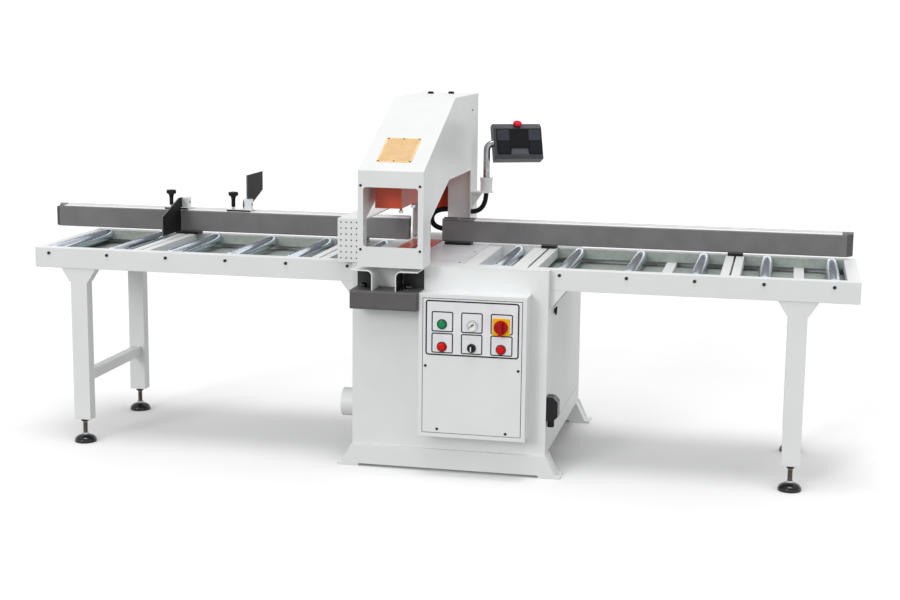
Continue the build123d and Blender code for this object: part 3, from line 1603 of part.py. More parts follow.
pendant_box -= rod("X", pipe_hole, (pendant_y, pendant_pipe_z), pendant_pipe_radius + arbor_fit)
stop_seat = Pos(
    (pendant_box_left + pendant_box_right) / 2,
    pendant_box_front + pendant_band / 2,
    pendant_box_top - pendant_band / 2,
) * Rot(pendant_band_angle, 0, 0)
stop_hole = (-stop_stem_length, running_gap)
pendant_box -= stop_seat * rod("Z", stop_hole, (0, 0), stop_stem_radius + running_gap)
leaning = Axis((0, pendant_y, pendant_pipe_z), (1, 0, 0))
pieces["pendant_box"] = [pendant_box.rotate(leaning, -pendant_tilt).rotate(swivel, pendant_turn)]

stop_stem = (stop_button_travel + running_gap - stop_stem_length, stop_stem_rise)
mushroom = turned_button(stop_stem, stop_stem_radius, stop_button_radius, stop_button_height, button_crown)
mushroom = stop_seat * mushroom
pieces["emergency_stop"] = [mushroom.rotate(leaning, -pendant_tilt).rotate(swivel, pendant_turn)]


# Hoses and glands
def hose(points, radius, bend):
    """A round hose along straight runs and tangent arcs."""
    line = FilletPolyline(*points, radius=bend)
    start = Vector(*points[1]) - Vector(*points[0])
    return sweep(Plane(points[0], z_dir=start.normalized()) * Circle(radius), path=line)


conduit = hose(
    [
        (pendant_x, pendant_y, pendant_socket_bottom),
        (pendant_x, pendant_y, conduit_end_z),
        (hood_right, pendant_y, conduit_end_z),
    ],
    conduit_radius,
    conduit_bend,
)
air_hose = hose(
    [
        (column_left, air_hose_y, air_hose_top),
        (column_left - air_hose_reach, air_hose_y, air_hose_top),
        (column_left - air_hose_reach, air_hose_y, air_hose_bottom),
        (column_left, air_hose_y, air_hose_bottom),
    ],
    air_hose_radius,
    air_hose_bend,
)
glands = [rod("Z", (hood_top, hood_top + hood_gland_height), at, gland_radius) for at in hood_gland_places]
pieces["hoses_and_glands"] = [conduit, air_hose] + glands

os.makedirs("parts", exist_ok=True)
for name, solids in pieces.items():
    shape = solids[0] if len(solids) == 1 else Compound(solids)
    export_step(shape, f"parts/{name}.step")
print(len(pieces), "nodes")
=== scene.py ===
from math import cos, pi, radians, sin

import bmesh
import bpy
from mathutils import Matrix, Vector


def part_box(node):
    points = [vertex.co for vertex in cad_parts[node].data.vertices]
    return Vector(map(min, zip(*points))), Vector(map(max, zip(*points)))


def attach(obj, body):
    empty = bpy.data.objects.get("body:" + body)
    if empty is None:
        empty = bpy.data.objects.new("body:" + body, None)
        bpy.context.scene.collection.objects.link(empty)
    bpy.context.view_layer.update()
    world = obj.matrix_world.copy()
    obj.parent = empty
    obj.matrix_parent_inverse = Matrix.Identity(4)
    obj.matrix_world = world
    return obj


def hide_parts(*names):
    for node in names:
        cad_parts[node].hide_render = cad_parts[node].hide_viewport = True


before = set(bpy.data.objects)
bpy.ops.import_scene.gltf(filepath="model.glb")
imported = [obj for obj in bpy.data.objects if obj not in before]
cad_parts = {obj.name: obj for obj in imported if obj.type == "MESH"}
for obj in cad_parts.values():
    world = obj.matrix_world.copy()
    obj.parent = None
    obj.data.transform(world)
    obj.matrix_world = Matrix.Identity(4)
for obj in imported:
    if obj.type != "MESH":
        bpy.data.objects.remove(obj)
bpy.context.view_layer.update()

# Camera: stands where the photograph was taken from, above the table tops and to the right of the saw.
# The picture is taken as 900 by 600, and its focal length of 1600 pixels is a 64 mm lens on a 36 mm sensor.
camera = bpy.data.objects.new("camera", bpy.data.cameras.new("camera"))
camera.data.lens = 64
camera.data.sensor_width = 36
camera.data.clip_end = 400
yaw, pitch, roll = radians(11.979), radians(-9.948), radians(0.661)
stand = (1.2441, -6.3265, 1.7211)
aim = Matrix.Rotation(yaw, 4, "Z") @ Matrix.Rotation(pi / 2 + pitch, 4, "X") @ Matrix.Rotation(roll, 4, "Z")
camera.matrix_world = Matrix.Translation(stand) @ aim
bpy.context.scene.collection.objects.link(camera)
bpy.context.scene.camera = camera


# Floor and light: a pale painted studio floor that rises into a sweep all round the machine, under a soft
# light from above and another in front, to the left. The floor throws no light back: the dimmer room below
# the horizon does so instead, so that the machine's under sides stay dark.
def linear(code):
    """Turns an sRGB hex colour into the linear colour that the shaders take."""
    parts = [int(code[i:i + 2], 16) / 255 for i in (1, 3, 5)]
    return [c / 12.92 if c <= 0.04045 else ((c + 0.055) / 1.055) ** 2.4 for c in parts] + [1]


def add_node(tree, kind, settings, links):
    """Adds one node to a tree, gives it its settings and links its inputs to other nodes' outputs."""
    made = tree.nodes.new(kind)
    for key, value in settings.items():
        if isinstance(key, str) and hasattr(made, key):
            setattr(made, key, value)
        else:
            made.inputs[key].default_value = value
    for key, source in links.items():
        tree.links.new(source, made.inputs[key])
    return made


# One millimetre in Blender's metres, and the middle of a noise's range, where nearly all its values lie.
MM = 0.001
RAMP = {"From Min": 0.36, "From Max": 0.64}


def surface(name, colours, patch_mm, rough, grain_mm, depth_mm, stretch=(1, 1, 1), fixed=()):
    """A material of two close colours in soft patches, with uneven gloss and a fine grain that stands up."""
    material = bpy.data.materials.new(name)
    material.use_nodes = True
    tree = material.node_tree
    shader = tree.nodes["Principled BSDF"]
    for socket, value in dict(fixed).items():
        shader.inputs[socket].default_value = value
    spot = add_node(tree, "ShaderNodeTexCoord", {}, {}).outputs["Object"]
    drawn = add_node(tree, "ShaderNodeMapping", {"Scale": stretch}, {"Vector": spot}).outputs[0]
    patch = add_node(
        tree, "ShaderNodeTexNoise", {"Scale": 1 / (patch_mm * MM), "Detail": 3}, {"Vector": spot}
    )
    grain = add_node(
        tree, "ShaderNodeTexNoise", {"Scale": 1 / (grain_mm * MM), "Detail": 2}, {"Vector": drawn}
    )
    mixed = add_node(tree, "ShaderNodeMapRange", RAMP, {"Value": patch.outputs[0]})
    tint = add_node(
        tree, "ShaderNodeMix",
        {"data_type": "RGBA", 6: linear(colours[0]), 7: linear(colours[1])}, {0: mixed.outputs[0]},
    )
    gloss = add_node(
        tree, "ShaderNodeMapRange",
        {**RAMP, "To Min": rough[0], "To Max": rough[1]}, {"Value": grain.outputs[0]},
    )
    rise = add_node(
        tree, "ShaderNodeBump", {"Strength": 1, "Distance": depth_mm * MM}, {"Height": grain.outputs[0]}
    )
    tree.links.new(tint.outputs[2], shader.inputs["Base Color"])
    tree.links.new(gloss.outputs[0], shader.inputs["Roughness"])
    tree.links.new(rise.outputs[0], shader.inputs["Normal"])
    return material


# Rolled floor paint: matt, with the faint mottling of a roller and no gloss.
floor_paint = surface("rolled_floor_paint", ("#FFFFFF", "#FCFCFC"), 700, (0.85, 0.95), 9, 0.1)
floor_half = 60
flat_radius = 12
sweep_slope = 0.5
studio = bmesh.new()
bmesh.ops.create_grid(studio, x_segments=80, y_segments=80, size=floor_half)
for spot in studio.verts:
    spot.co.z = max(0, spot.co.xy.length - flat_radius) * sweep_slope
for face in studio.faces:
    face.smooth = True
floor_mesh = bpy.data.meshes.new("studio_floor")
studio.to_mesh(floor_mesh)
studio.free()
floor_mesh.materials.append(floor_paint)
floor = bpy.data.objects.new("studio_floor", floor_mesh)
bpy.context.scene.collection.objects.link(floor)
floor.visible_diffuse = False
floor.visible_shadow = False

for name, energy, spread, towards in (
    ("overhead_softbox", 0.86, 25, (0.04, -0.15, 0.98)),
    ("front_softbox", 0.76, 18, (-0.34, -0.88, 0.34)),
):
    softbox = bpy.data.objects.new(name, bpy.data.lights.new(name, "SUN"))
    softbox.data.energy = energy
    softbox.data.angle = radians(spread)
    softbox.rotation_euler = Vector(towards).to_track_quat("Z", "Y").to_euler()
    bpy.context.scene.collection.objects.link(softbox)

# The room is brightest overhead and in front, and dims evenly towards the floor.
room_level = 0.5
room_slant = (0.06, -0.1, 0.37)
room = bpy.data.worlds.new("pale_room")
room.use_nodes = True
bpy.context.scene.world = room
bpy.context.scene.view_settings.view_transform = "Standard"
walls = room.node_tree
looking = add_node(walls, "ShaderNodeTexCoord", {}, {}).outputs["Generated"]
slant = add_node(
    walls, "ShaderNodeVectorMath", {"operation": "DOT_PRODUCT", 1: room_slant}, {0: looking}
)
level = add_node(
    walls, "ShaderNodeMath", {"operation": "ADD", 1: room_level}, {0: slant.outputs["Value"]}
)
walls.links.new(level.outputs[0], walls.nodes["Background"].inputs["Strength"])
walls.nodes["Background"].inputs["Color"].default_value = linear("#FFFFFF")


# Cabinet: a welded box of 4 mm sheet on two folded foot beams with bolting tabs, with a dust spout on its
# left and two cowls over the console. The weldment is powder coated in one pale grey-white and its folded
# edges have a small radius. The hollow insides of the cowls are black as painted shade, and black rubber
# lines the rim of the door's opening.
def add_to(bm, part, place=(0, 0, 0), along=(0, 0, 1), coat=0):
    """Sets a small shape into a piece, its foot at a place in mm and its Z axis along a direction."""
    turn = Vector((0, 0, 1)).rotation_difference(Vector(along)).to_matrix().to_4x4()
    part.transform(Matrix.Translation(Vector(place) * MM) @ turn)
    for face in part.faces:
        face.material_index = coat
    carrier = bpy.data.meshes.new("carrier")
    part.to_mesh(carrier)
    part.free()
    bm.from_mesh(carrier)
    bpy.data.meshes.remove(carrier)


def grid_spot(place):
    """A place in whole hundredths of a millimetre, to know the same place again."""
    return tuple(round(value / (0.01 * MM)) for value in place)


def solids_of(bm):
    """Finds the runs of triangles in a CAD mesh that close on themselves: its solids, one after another."""
    solids = []
    first = 0
    rim = set()
    for face in bm.faces:
        corners = [grid_spot(spot.co) for spot in face.verts]
        for side in zip(corners, corners[1:] + corners[:1]):
            if side[::-1] in rim:
                rim.remove(side[::-1])
            elif side[0] != side[1]:
                rim.add(side)
        if not rim:
            solids.append(range(first, face.index + 1))
            first = face.index + 1
    return solids


def edge_spot(edge):
    """The middle of an edge, as a place that can be known again."""
    return grid_spot((edge.verts[0].co + edge.verts[1].co) / 2)


def softened(node, width_mm, shortest_mm=8):
    """Copies a CAD node, joins each solid's triangles into whole faces and rounds its long free edges."""
    merge_gap = 0.02 * MM
    still_flat = radians(1)
    least_corner = radians(20)
    triangles = bmesh.new()
    triangles.from_mesh(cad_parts[node].data)
    parts = []
    times_met = {}
    for run in solids_of(triangles):
        part = triangles.copy()
        others = [face for face in part.faces if face.index not in run]
        bmesh.ops.delete(part, geom=others, context="FACES")
        bmesh.ops.remove_doubles(part, verts=part.verts, dist=merge_gap)
        bmesh.ops.dissolve_limit(
            part, angle_limit=still_flat, use_dissolve_boundaries=False, verts=part.verts, edges=part.edges
        )
        parts.append(part)
        for edge in part.edges:
            middle = edge_spot(edge)
            times_met[middle] = times_met.get(middle, 0) + 1
    triangles.free()
    whole = bmesh.new()
    for part in parts:
        corners = [
            edge for edge in part.edges
            if len(edge.link_faces) == 2 and edge.is_convex and times_met[edge_spot(edge)] == 1
            and edge.calc_face_angle() > least_corner and edge.calc_length() > shortest_mm * MM
        ]
        bmesh.ops.bevel(
            part, geom=corners, offset=width_mm * MM, offset_type="OFFSET", affect="EDGES",
            segments=2, profile=0.5, material=-1, clamp_overlap=True,
        )
        add_to(whole, part)
    return whole


def keep(bm, name, body, slot, *coats):
    """Turns a bmesh into a piece with its materials, that rides on a body of the machine."""
    crease = radians(35)
    for face in bm.faces:
        face.smooth = True
    for edge in bm.edges:
        edge.smooth = len(edge.link_faces) == 2 and edge.calc_face_angle() < crease
    mesh = bpy.data.meshes.new(name)
    bm.to_mesh(mesh)
    bm.free()
    for coat in coats:
        mesh.materials.append(coat)
    piece = bpy.data.objects.new(name, mesh)
    bpy.context.scene.collection.objects.link(piece)
    even = piece.modifiers.new("even_shading", "WEIGHTED_NORMAL")
    even.keep_sharp = True
    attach(piece, body)
    return piece


# Powder coat on steel sheet: baked, half gloss, with a faint orange peel. The peel is 1.5 mm across on the
# real sheet and drawn at 4 mm, so that it shows at this distance.
white_coat = surface("powder_coated_steel_white", ("#EBEDED", "#E8EAEA"), 160, (0.34, 0.44), 4, 0.05)
# Rubber, moulded plastic and flat paint throw back less light than a lacquered face.
DULL = {"Specular IOR Level": 0.2}
# Moulded rubber: matt black with a bloom, and a grain of 0.6 mm drawn at 1.5 mm. The same black serves as
# painted shade inside the cowls and behind the hood's perforated side wing.
black_rubber = surface("moulded_black_rubber_and_painted_shade", ("#131313", "#1A1A19"), 30, (0.5, 0.68), 1.5, 0.05, fixed=DULL)


def inside(spot, low, high):
    """Tells whether a place in mm lies between two corners."""
    return all(least < value < most for least, value, most in zip(low, spot, high))


door_opening = ((375.9, -348, 157), (380, 446, 643))
cowl_hollows = (
    ((-357, -591.9, 714.5), (-275.5, -480.1, 790), -1),
    ((-180.5, -591.9, 714.5), (-99, -480.1, 790), 1),
)
weldment = softened("cabinet_body", 1.5)
for face in weldment.faces:
    spot = face.calc_center_median() / MM
    seal = inside(spot, *door_opening) and abs(face.normal.x) < 0.1
    # The hollow insides of the cowls take the black as painted shade.
    cowl_painted_shade = any(
        inside(spot, low, high) and face.normal.x * outward > -0.1 and face.normal.z < 0.01
        for low, high, outward in cowl_hollows
    )
    face.material_index = int(seal or cowl_painted_shade)
cabinet = keep(weldment, "cabinet_finished", "machine", "white_paint", white_coat, black_rubber)
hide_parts("cabinet_body")


# Side door, its quarter-turn latch and the mains inlet: a folded sheet door in the cabinet's coat with a
# rubber seal round its edge, a black moulded latch, and a moulded inlet housing with a cable gland under it.
leaf = softened("side_door", 1.2)
for face in leaf.faces:
    face.material_index = int(abs(face.normal.x) < 0.1)
door = keep(leaf, "side_door_finished", "door", "white_paint", white_coat, black_rubber)
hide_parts("side_door")
# Moulded black plastic: dull, with a fine spark-eroded texture of 0.4 mm, drawn at 1.5 mm so that it shows.
black_plastic = surface(
    "moulded_black_plastic", ("#161618", "#1D1D20"), 40, (0.38, 0.52), 1.5, 0.04, fixed=DULL
)
latch = keep(softened("door_latch", 1.5, 5), "door_latch_finished", "latch", "black_plastic", black_plastic)
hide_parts("door_latch")
# Polished plastic: the inlet's lid is smoother than its housing, and a bluer black.
lid_plastic = surface("polished_slate_plastic", ("#1E2029", "#181A21"), 30, (0.25, 0.35), 2, 0.01, fixed=DULL)
lid_foot = 262
inlet = softened("power_inlet", 2.5, 5)
for face in inlet.faces:
    above = face.calc_center_median().z / MM > lid_foot
    face.material_index = int(above and (face.normal.z > 0.2 or face.normal.x > 0.5))
inlet = keep(inlet, "power_inlet_finished", "machine", "black_plastic", black_plastic, lid_plastic)
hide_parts("power_inlet")

# Saw unit inside the cabinet: a welded arm on a pivot tube with its motor, belt, spindle and blade, raised by
# an air cylinder. The arm is painted, the turned parts are bright, and the blade is ground tool steel.
# Machine enamel over a rough casting: grey, with brush marks and pits of about 3 mm.
grey_enamel = surface("brushed_on_grey_enamel", ("#7B7F80", "#6F7374"), 60, (0.4, 0.55), 3, 0.12)
# Turned steel: bright, with fine tool marks of 0.2 mm round the axis, drawn at 1.2 mm.
turned_steel = surface(
    "turned_steel", ("#B9BCBE", "#A9ACAE"), 50, (0.22, 0.34), 1.2, 0.01, (1, 4, 4), {"Metallic": 1}
)
# Ground tool steel: the grinding leaves fine lines across the blade, 0.15 mm apart, drawn at 1 mm.
ground_steel = surface(
    "ground_tool_steel", ("#C2C4C5", "#B4B6B8"), 45, (0.2, 0.3), 1, 0.006, (1, 1, 6), {"Metallic": 1}
)
for node, coat in (
    ("saw_arm", grey_enamel), ("motor", grey_enamel),
    ("drive_belt", black_rubber), ("saw_blade", ground_steel),
    ("spindle", turned_steel), ("motor_pulley", turned_steel),
    ("lift_cylinder", turned_steel), ("lift_rod", turned_steel),
):
    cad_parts[node].data.materials[0] = coat

# Deck and cutting plate: folded cover sheets round an open pan, a bare ground plate under the hood, and an
# enamelled insert that the blade comes up through. The plate is held by countersunk screws.
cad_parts["centre_deck"].data.materials[0] = white_coat
# Ground steel plate: the grinder leaves long fine lines, 0.3 mm apart, drawn at 2 mm. Its colour is lightened
# almost to white, as painted light against the hood's shade over it.
plate_steel_and_painted_light = surface(
    "ground_steel_plate_and_painted_light", ("#EFF2F6", "#E6E9EE"), 120, (0.36, 0.46), 2, 0.01, (0.05, 1, 1), {"Metallic": 0.3}
)
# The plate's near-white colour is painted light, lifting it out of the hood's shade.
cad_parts["table_plate"].data.materials[0] = plate_steel_and_painted_light
# Safety enamel: red-orange, sprayed on, with a soft gloss and a peel of 2 mm drawn at 4 mm.
orange_enamel = surface("sprayed_safety_enamel", ("#E04E24", "#D8451B"), 80, (0.3, 0.42), 4, 0.05, fixed=DULL)
insert = softened("table_insert", 0.8)
insert = keep(insert, "table_insert_finished", "machine", "orange_paint", orange_enamel)
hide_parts("table_insert")


def turned(profile, steps=24):
    """Spins a line of (radius, height) points in mm round the Z axis into a closed shape."""
    part = bmesh.new()
    spots = [part.verts.new((radius * MM, 0, height * MM)) for radius, height in profile]
    line = [part.edges.new(pair) for pair in zip(spots, spots[1:])]
    bmesh.ops.spin(
        part, geom=spots + line, cent=(0, 0, 0), axis=(0, 0, 1), angle=2 * pi, steps=steps, use_merge=True
    )
    bmesh.ops.remove_doubles(part, verts=part.verts, dist=0.001 * MM)
    bmesh.ops.recalc_face_normals(part, faces=part.faces)
    return part


# Black-oxide steel: the screws are dipped, nearly black, with a low oily gloss.
black_oxide = surface(
    "black_oxide_steel", ("#1F1F20", "#2A2A2B"), 12, (0.35, 0.5), 1.5, 0.01, fixed={"Metallic": 0.6}
)
table_top = 800
countersunk_head = [(0, -0.2), (2.4, -0.2), (2.4, 0.5), (5.6, 0.5), (6, 0.1), (6, -1), (0, -1)]
plate_screws = bmesh.new()
for x, y in ((14, -360), (14, -60), (14, 225), (-120, -366), (-352, -60)):
    add_to(plate_screws, turned(countersunk_head, 18), (x, y, table_top))
keep(plate_screws, "plate_screws", "machine", "zinc_steel", black_oxide)

# Roller tables: sheet rails folded round a pan, with cross bars and slots, in the cabinet's white coat.
# The pan between the rollers and the rails' inner faces above it are olive grey, as painted shade in the
# recess under the rollers.
# Olive-grey painted shade: a grey, slightly olive mottle in patches of 20 mm.
pan_painted_shade = surface("olive_grey_painted_shade", ("#A9B0AA", "#9CA49E"), 20, (0.45, 0.6), 5, 0.02)
pan_top = 740
pan_middle = -125.5
pan_half = 275
for side in ("left", "right"):
    table = softened(f"{side}_table_frame", 1.5)
    for face in table.faces:
        spot = face.calc_center_median() / MM
        # The pan and the rails' inner faces between the rollers take the olive grey as painted shade.
        tray = abs(spot.z - pan_top) < 1.5 and face.normal.z > 0.9
        between = pan_top - 5 < spot.z < table_top - 2 and abs(spot.y - pan_middle) < pan_half
        inner_face_painted_shade = between and abs(face.normal.y) > 0.9
        face.material_index = int(tray or inner_face_painted_shade)
    piece = keep(table, f"{side}_table_finished", "machine", "white_paint", white_coat, pan_painted_shade)
    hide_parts(f"{side}_table_frame")

# Legs and levelling feet: box tubes with folded gussets and a low brace, and four screw feet. Each foot is a
# moulded pad on a plated stem, with a lock nut under the leg's end plate.
legs = keep(softened("leg_frames", 1.5), "leg_frames_finished", "machine", "white_paint", white_coat)
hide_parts("leg_frames")
# Bright zinc plate: silvery with a faint blue, smooth, with a crystal of 3 mm.
zinc_plate = surface(
    "bright_zinc_plate", ("#C3C8CC", "#B4BAC0"), 20, (0.2, 0.32), 3, 0.01, fixed={"Metallic": 1}
)
# Polished black phenolic: deep black and glossy, with faint handling marks.
gloss_black = surface("polished_black_phenolic", ("#0D0D0E", "#141415"), 15, (0.1, 0.2), 2, 0.01)
# Plain threaded steel: dark and oily, browned by handling.
thread_steel = surface(
    "oiled_threaded_steel", ("#7A736A", "#6A645C"), 12, (0.3, 0.42), 2, 0.01, fixed={"Metallic": 0.9}
)
pad_radius = 44
foot_pad = [
    (0, 0), (42.5, 0), (pad_radius, 1.5), (pad_radius, 8), (43, 13), (40, 18),
    (35, 22.5), (28, 26.5), (21, 29), (15, 30), (0, 30),
]
thread_foot = 38
thread_pitch = 3
foot_thread = [(0, thread_foot)]
for turn in range(14):
    crest = thread_foot + thread_pitch * turn
    foot_thread += [(9.6, crest), (8.4, crest + thread_pitch / 2)]
foot_thread += [(9.4, 80), (9.4, 97), (0, 97)]


def hexagon_nut(radius, height):
    """A six-sided nut on the Z axis with chamfered faces, its foot at zero, in mm."""
    nut = bmesh.new()
    bmesh.ops.create_cone(
        nut, cap_ends=True, segments=6, radius1=radius * MM, radius2=radius * MM, depth=height * MM,
        matrix=Matrix.Translation((0, 0, height / 2 * MM)),
    )
    rims = [edge for edge in nut.edges if abs(edge.verts[0].co.z - edge.verts[1].co.z) < MM]
    bmesh.ops.bevel(nut, geom=rims, offset=1.2 * MM, affect="EDGES", segments=2, profile=0.5, material=-1)
    return nut


leg_places = (-1532, 1295)
feet = bmesh.new()
low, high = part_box("levelling_feet")
for x in leg_places:
    for y in (low[1] / MM + pad_radius, high[1] / MM - pad_radius):
        add_to(feet, turned(foot_pad, 40), (x, y, 0), coat=0)
        add_to(feet, turned(foot_thread, 20), (x, y, 0), coat=1)
        add_to(feet, hexagon_nut(14.5, 9), (x, y, 29.5), coat=2)
        add_to(feet, hexagon_nut(16, 10.5), (x, y, 86), coat=3)
feet = keep(
    feet, "levelling_feet_finished", "machine", "black_plastic",
    gloss_black, thread_steel, zinc_plate, black_oxide,
)
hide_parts("levelling_feet")

# Rollers: zinc-plated steel tubes with pressed ends, each on a stub axle held by a screw through the rail.
# The plated tube mirrors its surroundings softly, with fine turning rings round it.
# Plated tube: bluish, bright, with rings of 0.3 mm drawn at 2 mm along the roller.
roller_zinc = surface(
    "plated_roller_tube", ("#D9E4F0", "#CCD9E7"), 90, (0.12, 0.18), 2, 0.06, (0.02, 1, 0.02),
    {"Metallic": 0.9},
)
for side in ("left", "right"):
    for number in range(1, 7):
        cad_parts[f"roller_{side}_{number}"].data.materials[0] = roller_zinc
axle_height = 779
left_pitch = 248.5
right_pitch = 251.5
roller_places = [-412 - left_pitch * i for i in range(6)] + [413.5 + right_pitch * i for i in range(5)]
axle_washer = [(0, 0), (9, 0), (9, 1), (8.4, 1.4), (0, 1.4)]
axle_head = [(0, 3), (2.6, 3), (2.6, 5.5), (5.4, 5.5), (6.2, 4.6), (6.5, 1.2), (0, 1.2)]
axle_screws = bmesh.new()
for x in roller_places:
    for y, outward in ((-438, -1), (187, 1)):
        add_to(axle_screws, turned(axle_washer, 20), (x, y, axle_height), (0, outward, 0), 1)
        add_to(axle_screws, turned(axle_head, 16), (x, y, axle_height), (0, outward, 0), 0)
keep(axle_screws, "axle_screws", "machine", "zinc_steel", black_oxide, zinc_plate)

# Fences: painted box-section rails on black feet, with a pale riding strip on top for the stops and moulded
# plugs in their outer ends. A folded lip stands along the back of the strip, and a cover joins the rails.
# Textured grey paint: a dark warm grey that hides handling marks, with a wrinkle of 0.8 mm, drawn at 2 mm.
grey_coat = surface("textured_grey_paint", ("#737172", "#6C6B6C"), 70, (0.42, 0.56), 2, 0.05)
# Paler grey paint: the fences' paint made paler along the top of their ends, as a painted reflection of the
# bright room at a grazing angle.
pale_grey_painted_reflection = surface("grey_paint_painted_reflection", ("#A9A6AA", "#A09DA1"), 40, (0.4, 0.5), 2, 0.03)
# Moulded grey plastic: the plugs in the fences' ends are a darker, plainer grey than the painted rail. The
# mitre facet on the right plug takes this grey as painted shade.
plug_grey_and_painted_shade = surface("moulded_grey_plastic_and_painted_shade", ("#5C5A59", "#555352"), 40, (0.4, 0.5), 2, 0.03, fixed=DULL)
# Anodised aluminium strip: pale silver made pure white, partly a painted highlight along the fence's top,
# with fine drawn lines along it, 0.4 mm apart and drawn at 2 mm.
strip_alloy_and_painted_highlight = surface(
    "aluminium_strip_and_painted_highlight", ("#FFFFFF", "#FAFAFA"), 60, (0.3, 0.4), 2, 0.01, (0.03, 1, 1)
)


def plate(low, high, corner, axis, rim):
    """A block between two corners in mm, with round corners about one axis and softened rims."""
    part = bmesh.new()
    size = (Vector(high) - Vector(low)) * MM
    middle = (Vector(high) + Vector(low)) / 2 * MM
    bmesh.ops.create_cube(part, size=1, matrix=Matrix.Translation(middle) @ Matrix.Diagonal((*size, 1)))
    posts = [edge for edge in part.edges if abs((edge.verts[0].co - edge.verts[1].co)[axis]) > 0.01 * MM]
    bmesh.ops.bevel(
        part, geom=posts, offset=corner * MM, affect="EDGES", segments=5, profile=0.5, material=-1
    )
    if rim:
        rims = [edge for edge in part.edges if edge.calc_face_angle() > radians(60)]
        bmesh.ops.bevel(
            part, geom=rims, offset=rim * MM, affect="EDGES", segments=2, profile=0.5, material=-1
        )
    return part


def slice_at(bm, place, facing, clear=False):
    """Cuts a bmesh through a place in mm, drops what lies past the cut if asked, and gives its edges."""
    everything = bm.verts[:] + bm.edges[:] + bm.faces[:]
    middle = [value * MM for value in place]
    cut = bmesh.ops.bisect_plane(
        bm, geom=everything, plane_co=middle, plane_no=facing, clear_outer=clear
    )
    return [edge for edge in cut["geom_cut"] if isinstance(edge, bmesh.types.BMEdge)]


fence_front = 124
fence_back = 159
fence_foot = 812
fence_top = 900
fence_end = 1500
fence_runs = (("left", -1852, -303), ("right", -27, 1456))
left_plug = -1874.5
right_plug = fence_end - 30
mitre = 26
for side, strip_start, strip_end in fence_runs:
    fence = softened(f"{side}_fence", 1.2)
    for x in (strip_start, strip_end):
        slice_at(fence, (x, 0, 0), (1, 0, 0))
    if side == "right":
        rims = slice_at(fence, (right_plug, 0, 0), (1, 0, 0), clear=True)
        bmesh.ops.triangle_fill(fence, edges=rims, use_beauty=True)
        plug = plate((right_plug, fence_front, fence_foot), (fence_end, fence_back, fence_top), 5, 0, 0)
        mitre_facing = (fence_back - fence_front, -mitre, 0)
        slice_at(plug, (fence_end - mitre, fence_front, 0), mitre_facing, clear=True)
        rims = [edge for edge in plug.edges if edge.is_boundary]
        facet = bmesh.ops.holes_fill(plug, edges=rims, sides=0)["faces"][0]
        bmesh.ops.recalc_face_normals(plug, faces=plug.faces)
        bmesh.ops.bevel(
            plug, geom=facet.edges[:], offset=0.8 * MM, affect="EDGES", segments=2, profile=0.5, material=-1
        )
        add_to(fence, plug)
    for face in fence.faces:
        spot = face.calc_center_median() / MM
        # The strip on top takes the pure white, partly a painted highlight.
        on_strip = fence_top + 0.5 < spot.z < fence_top + 4 and strip_start < spot.x < strip_end
        # The mitre facet of the right plug, picked by the way it faces, takes the darker grey as painted
        # shade.
        mitre_painted_shade = spot.x > right_plug and 0.6 < face.normal.x < 0.9 and face.normal.y < -0.4
        on_foot = spot.z < fence_foot - 0.5
        on_plug = spot.x < left_plug or mitre_painted_shade
        face.material_index = 1 if on_strip else 3 if on_plug else 2 if on_foot else 0
    rail = keep(
        fence, f"{side}_fence_finished", "machine", "dark_grey_paint",
        grey_coat, strip_alloy_and_painted_highlight, black_plastic, plug_grey_and_painted_shade,
    )
    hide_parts(f"{side}_fence")
# The lips at the fences' ends take the paler grey, a painted reflection along the top of the ends.
lip_runs = ((-1888, -1852, 3), (-1852, -303, 0), (-161, -28, 2), (-28, 1456, 0), (1456, fence_end, 3))
lip_back = 165
lip_top = 909
back_lips = bmesh.new()
# The middle lips' fronts take the strip's pure white, partly a painted highlight.
for left, right, coat in lip_runs:
    foot = plate((left, fence_back, 866), (right, lip_back, 902.8), 0.8, 0, 0)
    lip = plate((left, 162.7, fence_top), (right, lip_back, lip_top), 0.8, 0, 0)
    add_to(back_lips, foot, coat=2)
    add_to(back_lips, lip, coat=coat)
for face in back_lips.faces:
    if face.calc_center_median().z / MM > lip_top - 0.7 or face.normal.y > 0.5:
        face.material_index = 2
keep(
    back_lips, "fence_back_lips", "machine", "dark_grey_paint",
    strip_alloy_and_painted_highlight, black_plastic, grey_coat, pale_grey_painted_reflection,
)
fence_middle = (fence_front + fence_back) / 2
cover_head = [(0, 0.6), (2, 0.6), (2, 2.2), (4, 2.2), (4.8, 1.6), (5, 0), (0, 0)]
cover_screw = bmesh.new()
add_to(cover_screw, turned(cover_head, 16), (-94, fence_middle, 905))
keep(cover_screw, "fence_cover_screw", "machine", "zinc_steel", zinc_plate)

# Flip stops: a milled aluminium shoe and hinge block on the strip, a black painted plate that swings on it,
# and a moulded star knob whose screw locks the shoe to the fence.
# Milled aluminium: silver with crossed cutter marks of 0.5 mm, drawn at 2 mm.
milled_alloy = surface(
    "milled_aluminium", ("#E6E8EA", "#DCDFE1"), 25, (0.28, 0.4), 2, 0.015, (1, 0.2, 1), {"Metallic": 0.35}
)
# Black paint on plate: low gloss, with a sprayed grain of 1 mm drawn at 2.5 mm.
black_paint = surface("sprayed_black_paint", ("#101010", "#161615"), 50, (0.55, 0.68), 2.5, 0.04, fixed=DULL)
